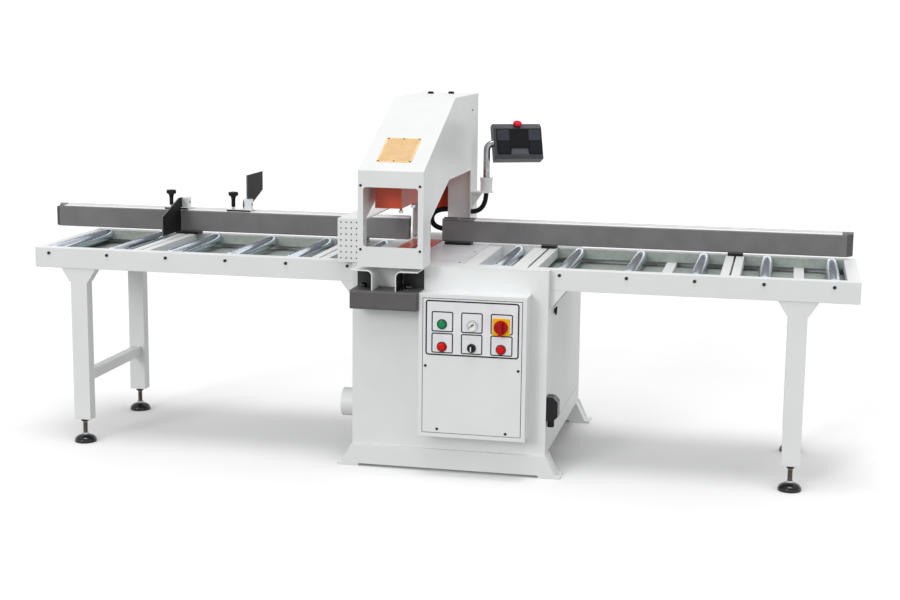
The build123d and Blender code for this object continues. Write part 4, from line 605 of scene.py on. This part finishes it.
# Plate edge: paler than the faces, a painted highlight along the plate's edge faces.
edge_painted_highlight = surface("plate_edge_painted_highlight", ("#7C7C7E", "#606062"), 18, (0.4, 0.55), 2.5, 0.03)
shoe_top = 910
knob_radius = 22
knob_height = 16
knob_foot = 968.6
stem_foot = 903.8 - knob_foot
knob_hub = [(0, -48), (8, -48), (8.6, -46), (8.6, -20), (10, -8), (13, -3), (15, 0.5), (0, 0.5)]
knob_cap = [(0, 15.5), (9, 15.5), (9, 16.4), (7, 17.2), (0, 17.2)]
knob_stem = [(0, stem_foot), (5, stem_foot), (5, -47.5), (0, -47.5)]
for number, block_x in ((1, -1309), (2, -1028)):
    shoe = softened(f"stop_{number}_base", 0.8, 4)
    for face in shoe.faces:
        face.material_index = int(face.calc_center_median().z / MM < shoe_top)
    shoe = keep(
        shoe, f"stop_{number}_shoe", f"stop_{number}_carriage", "aluminium", milled_alloy, black_plastic
    )
    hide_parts(f"stop_{number}_base")
    flap_plate = softened(f"stop_{number}_plate", 0.8, 4)
    # The plate's edge faces take the paler grey as a painted highlight.
    for face in flap_plate.faces:
        face.material_index = int(abs(face.normal.x) < 0.5)
    flap = keep(
        flap_plate, f"stop_{number}_flap_finished", f"stop_{number}_flap", "black_plastic",
        black_paint, edge_painted_highlight,
    )
    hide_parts(f"stop_{number}_plate")
    knob = bmesh.new()
    grip = bmesh.new()
    rim = bmesh.ops.create_circle(grip, cap_ends=True, segments=60, radius=knob_radius * MM)["verts"]
    for spot in rim:
        around = Vector((spot.co.x, spot.co.y)).angle_signed(Vector((1, 0)), 0)
        spot.co *= 0.89 + 0.11 * cos(6 * around)
    raised = bmesh.ops.extrude_face_region(grip, geom=grip.faces[:])["geom"]
    raised = [spot for spot in raised if isinstance(spot, bmesh.types.BMVert)]
    bmesh.ops.translate(grip, verts=raised, vec=(0, 0, knob_height * MM))
    bmesh.ops.recalc_face_normals(grip, faces=grip.faces)
    rims = [edge for edge in grip.edges if abs(edge.verts[0].co.z - edge.verts[1].co.z) < 0.1 * MM]
    bmesh.ops.bevel(grip, geom=rims, offset=3.5 * MM, affect="EDGES", segments=3, profile=0.5, material=-1)
    add_to(knob, grip)
    add_to(knob, turned(knob_hub, 24))
    add_to(knob, turned(knob_cap, 24))
    add_to(knob, turned(knob_stem, 18), coat=1)
    knob.transform(Matrix.Translation(Vector((block_x - 52, fence_middle, knob_foot)) * MM))
    knob = keep(
        knob, f"stop_{number}_star_knob", f"stop_{number}_screw", "black_plastic", black_plastic, zinc_plate
    )
    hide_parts(f"stop_{number}_knob")

# Hood: a folded and welded sheet guard over the saw, open at the throat for the work, with a window in
# front. It is coated white inside and out, the throat's edges have a rolled bead, and the sheet that closes
# its back is enamelled red-orange on the inside, as guards are.
hood_sill = ((-327, -585, 803), (-81, -478, 806))
wing_painted_shade_sheet = ((-434, -485, 806), (-333, -483.6, 967))
hood_back = 430
side_plug = [(0, 0), (4.5, 0), (4.5, 1), (3.6, 1.8), (0, 1.8)]
throat_sides = (-78.6, -329.4)
throat = ((-473, 804), (-473, 976), (-142, 1097), (300, 1097))
back_sheets = (((-325, 438.5, 903), (-184, 441.9, 1008)), ((-325, 438.5, 806), (-281, 441.9, 904)))
bead_radius = 2.4
hood = softened("hood_shell", 1.5)
add_to(hood, plate(*hood_sill, 2, 2, 0.5))
# A black sheet behind the perforated side wing darkens its holes as painted shade.
add_to(hood, plate(*wing_painted_shade_sheet, 2, 1, 0), coat=2)
add_to(hood, turned(side_plug, 16), (-78, 321, 1346), (1, 0, 0), 2)
for x in throat_sides:
    for (y, z), (next_y, next_z) in zip(throat, throat[1:]):
        run = Vector((0, next_y - y, next_z - z))
        bead = [(0, -1), (bead_radius, 0), (bead_radius, run.length), (0, run.length + 1)]
        add_to(hood, turned(bead, 12), (x, y, z), run)
for sheet in back_sheets:
    add_to(hood, plate(*sheet, 1, 1, 0), coat=1)
for face in hood.faces:
    if face.normal.y > 0.9 and face.calc_center_median().y / MM > hood_back:
        face.material_index = 0
hood = keep(hood, "hood_finished", "machine", "white_paint", white_coat, orange_enamel, black_rubber)
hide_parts("hood_shell")
# Clear polycarbonate: thin, almost without colour, with light wiping marks.
clear_sheet = surface(
    "clear_polycarbonate", ("#F2F6F6", "#EAF0F0"), 60, (0.04, 0.1), 8, 0.002,
    fixed={"IOR": 1.58, "Alpha": 0.015},
)
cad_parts["window_pane"].data.materials[0] = clear_sheet
hood_front = -588
window_head = [(0, 1.2), (2.2, 1.2), (2.2, 3), (4, 2.8), (5, 1.5), (5.2, 0), (0, 0)]
window_screws = bmesh.new()
for x, z in ((-319, 1109), (-91.6, 1111), (-319, 869), (-90, 869)):
    add_to(window_screws, turned(window_head, 18), (x, hood_front, z), (0, -1, 0))
keep(window_screws, "window_screws", "machine", "zinc_steel", black_oxide)

# Vent plate: a finely punched sheet in amber paint over an opening in the slope of the hood.
# It is held by six small screws along its upper and lower edges.
# Amber paint on punched sheet: warm, half matt, with a peel of 2 mm.
amber_paint = surface("amber_painted_punched_sheet", ("#F6D8A6", "#EFCE98"), 40, (0.4, 0.5), 2, 0.03)
# Hole bottoms: the holes are closed below the sheet, and their matt bottoms are brown as painted shade, seen
# as dots in the sheet.
hole_painted_shade = surface("brown_hole_painted_shade", ("#C08A4A", "#A87538"), 6, (0.8, 0.9), 1.5, 0.2)
vent_width = 134
vent_length = 188
vent_sheet = 2.8
columns = 23
rows = 33
vent = bmesh.new()
bmesh.ops.create_grid(vent, x_segments=columns, y_segments=rows, size=0.5)
bmesh.ops.scale(vent, vec=(vent_width * MM, vent_length * MM, 1), verts=vent.verts)
holes = []
for cell in vent.faces:
    middle = cell.calc_center_median() / MM
    column = round((middle.x / vent_width + 0.5) * columns - 0.5)
    row = round((middle.y / vent_length + 0.5) * rows - 0.5)
    if 0 < column < columns - 1 and 0 < row < rows - 1 and (column + row) % 2 == 0:
        holes.append(cell)
bmesh.ops.inset_individual(vent, faces=holes, thickness=0.9 * MM, depth=-1.5 * MM)
# The closed bottoms of the holes take the brown as painted shade.
for cell in holes:
    cell.material_index = 2
rim = bmesh.ops.extrude_edge_only(vent, edges=[edge for edge in vent.edges if edge.is_boundary])["geom"]
rim = [spot for spot in rim if isinstance(spot, bmesh.types.BMVert)]
bmesh.ops.translate(vent, verts=rim, vec=(0, 0, -vent_sheet * MM))
bmesh.ops.holes_fill(vent, edges=[edge for edge in vent.edges if edge.is_boundary], sides=0)
bmesh.ops.recalc_face_normals(vent, faces=vent.faces)
bmesh.ops.translate(vent, verts=vent.verts, vec=(0, 0, vent_sheet * MM))
vent_head = [(0, 4), (2, 4.1), (3.6, 3.4), (4, 2.6), (0, 2.6)]
for x in (-61, 0, 61):
    for y in (-88, 88):
        add_to(vent, turned(vent_head, 14), (x, y, 0), coat=1)
slope = radians(24.07)
slope_foot = 1165
up_slope = 67 + vent_length / 2
vent_middle = Vector((-208, hood_front + up_slope * cos(slope), slope_foot + up_slope * sin(slope)))
vent.transform(Matrix.Translation(vent_middle * MM) @ Matrix.Rotation(slope, 4, "X"))
vent = keep(vent, "vent_plate_finished", "machine", "amber_paint", amber_paint, black_oxide, hole_painted_shade)
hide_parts("vent_plate")

# Clamp: a sheet guard in safety enamel that the ram drives down on two chromed posts, with two press feet.
# The guard is folded, and the posts, the ram and the barrel are hard-chromed.
# Hard chrome: a clear mirror with a very fine ground line of 0.1 mm, drawn at 1 mm.
hard_chrome = surface(
    "hard_chromed_steel", ("#D5D8DA", "#CBCFD2"), 40, (0.08, 0.15), 1, 0.004, (1, 1, 5), {"Metallic": 1}
)
guard_foot = 1009
guard_top = 1161
clamp = softened("clamp_guard", 1)
for face in clamp.faces:
    height = face.calc_center_median().z / MM
    face.material_index = int(height > guard_top or height < guard_foot)
clamp = keep(clamp, "clamp_guard_finished", "clamp", "orange_paint", orange_enamel, hard_chrome)
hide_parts("clamp_guard")
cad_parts["clamp_cylinder_and_posts"].data.materials[0] = hard_chrome

# Console: a folded tray in dark grey paint under two cowls, with a start button for each hand.
# The buttons are glossy black domes turned to a soft crown.
# Textured charcoal paint: the fences' paint in a darker shade, with the same wrinkle of 0.8 mm drawn at 2 mm.
charcoal_coat = surface(
    "textured_charcoal_paint", ("#636162", "#5D5B5C"), 70, (0.42, 0.56), 2, 0.05, fixed=DULL
)
# Pocket paint: the same charcoal, darker, as painted shade on the back walls of the pockets under the cowls.
pocket_painted_shade = surface("charcoal_painted_shade", ("#424142", "#393839"), 50, (0.4, 0.54), 2, 0.05, fixed=DULL)
tray_top = 714
pocket_front = -490
console = softened("console_tray", 1.2)
for face in console.faces:
    spot = face.calc_center_median() / MM
    # The pockets' back walls above the tray take the darker charcoal as painted shade.
    face.material_index = int(spot.z > tray_top + 0.5 and spot.y > pocket_front)
console = keep(console, "console_finished", "machine", "dark_grey_paint", charcoal_coat, pocket_painted_shade)
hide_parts("console_tray")
dome = [
    (0, 0), (14.4, 0), (15, 0.8), (15, 4), (14.6, 6.4), (13.4, 8.8), (11.4, 10.8), (8.6, 12.2), (4.6, 12.9),
    (0, 13),
]
dome_stem = [(0, -14), (10, -14), (10, 0.2), (0, 0.2)]
for side, x in (("left", -321), ("right", -148)):
    dome_place = (x, -535, tray_top + 8.3)
    button = bmesh.new()
    add_to(button, turned(dome, 40), dome_place)
    add_to(button, turned(dome_stem, 24), dome_place)
    button = keep(button, f"start_button_{side}_dome", f"start_{side}", "gloss_black_plastic", gloss_black)
    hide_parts(f"start_button_{side}")

# Control box: a folded box with a rim and an inset cover, both in the white coat. The cover carries a silver
# panel foil with ruled frames, three push buttons, a pressure gauge, a selector and the main switch.
box = keep(softened("control_box", 2), "control_box_finished", "machine", "white_paint", white_coat)
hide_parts("control_box")
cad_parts["control_cover"].data.materials[0] = white_coat


def ruled(low, high, width, corner, front):
    """A thin raised frame line round a rectangle of (x, z) corners in mm, on the front of the box."""
    line_height = 0.3
    part = bmesh.new()
    middle = (Vector(high) + Vector(low)) / 2
    size = Vector(high) - Vector(low)
    bmesh.ops.create_grid(part, x_segments=1, y_segments=1, size=0.5)
    bmesh.ops.scale(part, vec=(size.x * MM, size.y * MM, 1), verts=part.verts)
    bmesh.ops.bevel(
        part, geom=part.verts[:], offset=corner * MM, affect="VERTICES", segments=5, profile=0.5, material=-1
    )
    bmesh.ops.inset_region(
        part, faces=part.faces[:], thickness=width * MM, use_boundary=True, use_even_offset=True
    )
    inner = max(part.faces, key=lambda face: face.calc_area())
    bmesh.ops.delete(part, geom=[inner], context="FACES_ONLY")
    bmesh.ops.solidify(part, geom=part.faces[:], thickness=line_height * MM)
    part.transform(
        Matrix.Translation(Vector((middle.x, front, middle.y)) * MM) @ Matrix.Rotation(pi / 2, 4, "X")
    )
    return part


# Silver foil: a matt brushed film behind clear lacquer.
panel_foil = surface(
    "lacquered_silver_foil", ("#E6E7EA", "#DFE0E3"), 60, (0.38, 0.48), 2, 0.006, (0.05, 1, 1),
    {"Metallic": 0.2},
)
box_front = -578
line_front = box_front - 0.9
panel = bmesh.new()
add_to(panel, plate((-69, box_front - 0.6, 477), (289, box_front + 0.5, 689), 9, 1, 0.15), coat=0)
add_to(panel, ruled((-68, 478), (288, 688), 5.4, 11, line_front), coat=1)
for left, right in ((-45, 38), (68, 150), (180, 264)):
    for bottom, top in ((487, 564), (568, 646)):
        add_to(panel, ruled((left, bottom), (right, top), 4.4, 7, line_front), coat=1)
keep(panel, "panel_foil", "machine", "aluminium", panel_foil, black_paint)
gasket = ruled((-80, 177), (300, 695), 3.2, 1.5, box_front + 0.8)
keep(gasket, "cover_gasket", "machine", "black_rubber", black_rubber)
box_head = [(0, 1.6), (1.6, 1.6), (1.6, 2.8), (4.6, 2.2), (5.4, 0.8), (5.4, 0), (0, 0)]
cover_screws = bmesh.new()
for x, z in ((-68, 436), (287, 433), (-21, 193), (242, 189)):
    add_to(cover_screws, turned(box_head, 16), (x, box_front, z), (0, -1, 0))
keep(cover_screws, "cover_screws", "machine", "zinc_steel", black_oxide)

# Push buttons, gauge, selector and main switch: moulded buttons in rings of their colour darkened as painted
# shade, a white dial under a needle, a black selector with a white mark, and a red rotary switch on a yellow
# plate.
# Button plastic: saturated right through, glossy, with a faint swirl from moulding.
green_plastic = surface("moulded_green_plastic", ("#0C9355", "#0A854B"), 12, (0.2, 0.3), 2, 0.01, fixed=DULL)
red_plastic = surface("moulded_red_plastic", ("#E40A0C", "#D40608"), 12, (0.2, 0.3), 2, 0.01, fixed=DULL)
# Collar plastic: the same mouldings in a deeper shade, painted shade that makes the collar read as a dark rim
# round its cap. The main switch is moulded in the deep red.
deep_green_painted_shade = surface(
    "deep_green_painted_shade_plastic", ("#06683A", "#045A30"), 12, (0.25, 0.35), 2, 0.01, fixed=DULL
)
deep_red_and_painted_shade = surface("deep_red_plastic_and_painted_shade", ("#B80408", "#A60306"), 20, (0.22, 0.32), 2, 0.01, fixed=DULL)
button_places = (
    ("green_button", "push_green", -5, 597, "green_plastic", green_plastic, deep_green_painted_shade),
    ("red_button_left", "push_red_left", -5, 511, "red_plastic", red_plastic, deep_red_and_painted_shade),
    ("red_button_right", "push_red_right", 220, 511, "red_plastic", red_plastic, deep_red_and_painted_shade),
)
button_cap = [(0, -14), (13.9, -14), (13.9, 7.4), (13.3, 8.5), (11.4, 9.3), (7.5, 9.75), (0, 9.9)]
collar_ring = [(14.3, 0), (17.3, 0), (17.3, 4.6), (16.4, 5.5), (15, 5.7), (14.3, 5.4), (14.3, 0)]
outer_ring = [(17.2, 0), (19.6, 0), (19.6, 2), (18.8, 3), (17.2, 3), (17.2, 0)]


def collar_at(place):
    """The two rings round a button or selector on the box's front: its own collar and a rim outside it."""
    rings = bmesh.new()
    add_to(rings, turned(collar_ring, 36), place, (0, -1, 0), 0)
    add_to(rings, turned(outer_ring, 36), place, (0, -1, 0), 1)
    return rings


for name, body, x, z, slot, coat, collar_painted_shade in button_places:
    button = bmesh.new()
    add_to(button, turned(button_cap, 36), (x, box_front, z), (0, -1, 0))
    button = keep(button, name + "_cap", body, slot, coat)
    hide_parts(name)
    # Each collar is its button's colour darkened, as painted shade round the cap.
    keep(collar_at((x, box_front, z)), name + "_collar", "machine", slot, collar_painted_shade, black_plastic)
# Printed white dial: satin card with black graduations.
dial_card = surface("printed_white_dial", ("#FBFBFA", "#F6F6F4"), 20, (0.5, 0.6), 2, 0.005)
gauge_x = 109
gauge_z = 597
dial_ring = [(18.2, 0.8), (22, 0.8), (22, 7.5), (21, 9.4), (19.4, 9.4), (18.2, 8.4), (18.2, 0.8)]
dial_disc = [(2, 1), (18.4, 1), (18.4, 3), (2, 3), (2, 1)]
gauge = bmesh.new()
add_to(gauge, turned(dial_ring, 40), (gauge_x, box_front, gauge_z), (0, -1, 0), 2)
add_to(gauge, turned(dial_disc, 40), (gauge_x, box_front, gauge_z), (0, -1, 0), 0)
for step in range(11):
    mark = plate((-0.6, 0, 13.4), (0.6, 0.4, 17.4), 0.2, 1, 0)
    mark.transform(Matrix.Rotation(radians(-135 + 27 * step), 4, "Y"))
    add_to(gauge, mark, (gauge_x, box_front - 3.2, gauge_z), coat=1)
keep(gauge, "gauge_dial", "machine", "chrome", dial_card, black_paint, hard_chrome)
needle_hub = [(0, -2), (1.5, -2), (1.5, 0.2), (3.4, 0.2), (3.2, 1.2), (0, 1.4)]
needle = bmesh.new()
add_to(needle, plate((-1.2, -0.5, -8), (1.2, 0.4, 15), 1, 1, 0.2))
add_to(needle, plate((-2.2, -0.5, -9), (2.2, 0.4, -4), 1, 1, 0.2))
needle.transform(Matrix.Rotation(radians(-130), 4, "Y"))
add_to(needle, turned(needle_hub, 20), along=(0, -1, 0))
needle.transform(Matrix.Translation(Vector((gauge_x, box_front - 4, gauge_z)) * MM))
needle = keep(needle, "gauge_needle_finished", "needle", "black_plastic", black_paint)
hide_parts("gauge_needle")
selector_x = 109
selector_z = 511
selector_rings = collar_at((selector_x, box_front, selector_z))
keep(selector_rings, "selector_collar", "machine", "black_plastic", black_plastic, hard_chrome)
selector = softened("selector_knob", 1.2, 3)
mark_low = (selector_x - 2, -600.4, selector_z - 9)
mark_high = (selector_x + 2, -599.2, selector_z + 9)
add_to(selector, plate(mark_low, mark_high, 1.4, 1, 0.2), coat=1)
selector = keep(selector, "selector_finished", "selector", "black_plastic", black_plastic, dial_card)
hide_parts("selector_knob")
# Yellow plastic: moulded, half gloss.
yellow_plastic = surface(
    "moulded_yellow_plastic", ("#FBC011", "#F5B80A"), 25, (0.3, 0.42), 2, 0.02, fixed=DULL
)
switch_plate = bmesh.new()
add_to(switch_plate, plate((187.4, -582.5, 564.4), (252.6, -578.2, 629.6), 4, 1, 1))
keep(switch_plate, "switch_plate", "machine", "amber_paint", yellow_plastic)
switch = keep(softened("main_switch", 2, 4), "main_switch_finished", "isolator", "red_plastic", deep_red_and_painted_shade)
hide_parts("main_switch")

# Pendant: a swivelling bent tube in a welded socket on the hood, with a moulded box, four soft keys on a
# panel film and the emergency stop on top. The box is a grey moulding with round corners.
bracket = softened("pendant_bracket", 1.2)
bracket = keep(bracket, "pendant_bracket_finished", "machine", "white_paint", white_coat)
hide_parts("pendant_bracket")
# Drawn steel tube under dull zinc: grey, with long soft streaks along the tube.
pipe_zinc = surface(
    "dull_zinc_on_drawn_tube", ("#B4B5B5", "#9B9C9D"), 18, (0.2, 0.32), 6, 0.01, (1, 1, 0.1), {"Metallic": 1}
)
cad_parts["pendant_pipe"].data.materials[0] = pipe_zinc
# Moulded grey ABS: dull, with a spark-eroded grain of 0.5 mm drawn at 2 mm.
grey_plastic = surface("moulded_grey_abs", ("#56585D", "#505257"), 40, (0.4, 0.52), 2, 0.04, fixed=DULL)
pendant = keep(softened("pendant_box", 3), "pendant_box_finished", "pendant", "dark_grey_paint", grey_plastic)
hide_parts("pendant_box")
pipe_centre = Vector((-14, 318, 1207)) * MM
swivelled = Matrix.Rotation(radians(24), 4, "Z") @ Matrix.Rotation(radians(-22), 4, "X")
pendant_place = Matrix.Translation(pipe_centre) @ swivelled @ Matrix.Translation(-pipe_centre)
film_front = 282.8
film_back = 284.8
key_front = 280.8
key_back = 283.4
pads = bmesh.new()
add_to(pads, plate((20, film_front, 1174), (216, film_back, 1262), 5, 1, 0.5), coat=0)
for left in (20, 156):
    add_to(pads, plate((left, film_front, 1148), (left + 60, film_back, 1186), 5, 1, 0.5), coat=0)
    add_to(pads, plate((left + 4, key_front, 1208), (left + 56, key_back, 1257), 5, 1, 1.2), coat=1)
    add_to(pads, plate((left + 4, key_front, 1153), (left + 56, key_back, 1204), 5, 1, 1.2), coat=2)
pads.transform(pendant_place)
# Soft-touch panel film: deep blue-black, with a silky gloss.
panel_film = surface("blue_black_panel_film", ("#0B0C11", "#101117"), 20, (0.3, 0.42), 1.5, 0.02, fixed=DULL)
# Soft rubber keys: the upper pair is charcoal, the lower pair nearly black, both with a fine bloom.
charcoal_rubber = surface(
    "worn_charcoal_rubber", ("#343741", "#3C3F49"), 14, (0.4, 0.55), 1.5, 0.05, fixed=DULL
)
night_rubber = surface("worn_black_rubber", ("#11131A", "#171922"), 14, (0.4, 0.55), 1.5, 0.05, fixed=DULL)
keep(pads, "pendant_pads", "pendant", "black_rubber", panel_film, charcoal_rubber, night_rubber)
# Signal plastic: a bright crimson with a soft gloss.
signal_red = surface("moulded_crimson_plastic", ("#DE1834", "#D0122C"), 12, (0.25, 0.35), 2, 0.01, fixed=DULL)
mushroom = [
    (0, -3), (10.8, -3), (10.8, 7.8), (17, 7.8), (18.6, 8.8), (19, 10.4),
    (18.8, 14), (17.8, 17.4), (15.4, 20), (11, 21.5), (5, 21.9), (0, 22),
]
band_middle = (118, 300, 1277)
stop_cap = bmesh.new()
add_to(stop_cap, turned(mushroom, 40), band_middle, (0, -1, 1))
stop_cap.transform(pendant_place)
stop_cap = keep(stop_cap, "emergency_mushroom", "emergency", "red_plastic", signal_red)
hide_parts("emergency_stop")
stop_ring = [(11.4, 0), (15, 0), (15, 1.6), (14, 2.6), (11.4, 2.6), (11.4, 0)]
stop_collar = bmesh.new()
add_to(stop_collar, turned(stop_ring, 30), band_middle, (0, -1, 1))
stop_collar.transform(pendant_place)
keep(stop_collar, "emergency_collar", "pendant", "black_plastic", black_plastic)


# Hoses and glands: a flexible conduit with fine ridges from the pendant's socket into the hood, a rubber air
# hose looped from the column, and two cable glands on the hood's roof. Both hoses are held at both ends.
def ribbed(route, radius, rib, pitch):
    """A tube along a smooth line through a route in mm, whose radius rises by a rib at every pitch."""
    line = bpy.data.curves.new("route", "CURVE")
    line.dimensions = "3D"
    line.resolution_u = 48
    spline = line.splines.new("NURBS")
    spline.points.add(len(route) - 1)
    for point, place in zip(spline.points, route):
        point.co = (*(Vector(place) * MM), 1)
    spline.order_u = 3
    spline.use_endpoint_u = True
    carrier = bpy.data.objects.new("route", line)
    walk = bpy.data.meshes.new_from_object(carrier)
    spots = [vertex.co.copy() for vertex in walk.vertices]
    tube = bmesh.new()
    loops = []
    run = 0
    for i, spot in enumerate(spots):
        ahead = (spots[min(i + 1, len(spots) - 1)] - spots[max(i - 1, 0)]).normalized()
        run += (spot - spots[i - 1]).length / MM if i else 0
        reach = radius - rib * (0.5 + 0.5 * cos(2 * pi * run / pitch))
        turn = ahead.to_track_quat("Z", "Y").to_matrix().to_4x4()
        made = bmesh.ops.create_circle(
            tube, segments=20, radius=reach * MM, matrix=Matrix.Translation(spot) @ turn
        )
        ring = list({edge for vertex in made["verts"] for edge in vertex.link_edges})
        if loops:
            bmesh.ops.bridge_loops(tube, edges=loops[-1] + ring)
        loops.append(ring)
    for ring in (loops[0], loops[-1]):
        bmesh.ops.contextual_create(tube, geom=ring)
    bmesh.ops.recalc_face_normals(tube, faces=tube.faces)
    bpy.data.objects.remove(carrier)
    bpy.data.meshes.remove(walk)
    return tube


hoses = bmesh.new()
conduit_route = ((-14, 318, 1004), (-14, 318, 917), (-78, 318, 917))
air_route = ((-182, 385, 916), (-264, 385, 916), (-264, 385, 828), (-182, 385, 828))
add_to(hoses, ribbed(conduit_route, 10.5, 0.4, 3.6))
add_to(hoses, ribbed(air_route, 11, 0, 10))
gland = [
    (0, 0), (13, 0), (13, 3.4), (11.5, 4), (11.5, 4.6), (13, 5.2), (12.6, 7.6), (10.5, 9), (6, 9), (5.5, 6),
    (0, 6),
]
roof_top = 1412
for x, y in ((-256, 305), (-175, 340)):
    add_to(hoses, turned(gland, 12), (x, y, roof_top))
hoses = keep(hoses, "hoses_and_glands_finished", "machine", "black_rubber", black_rubber)
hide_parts("hoses_and_glands")
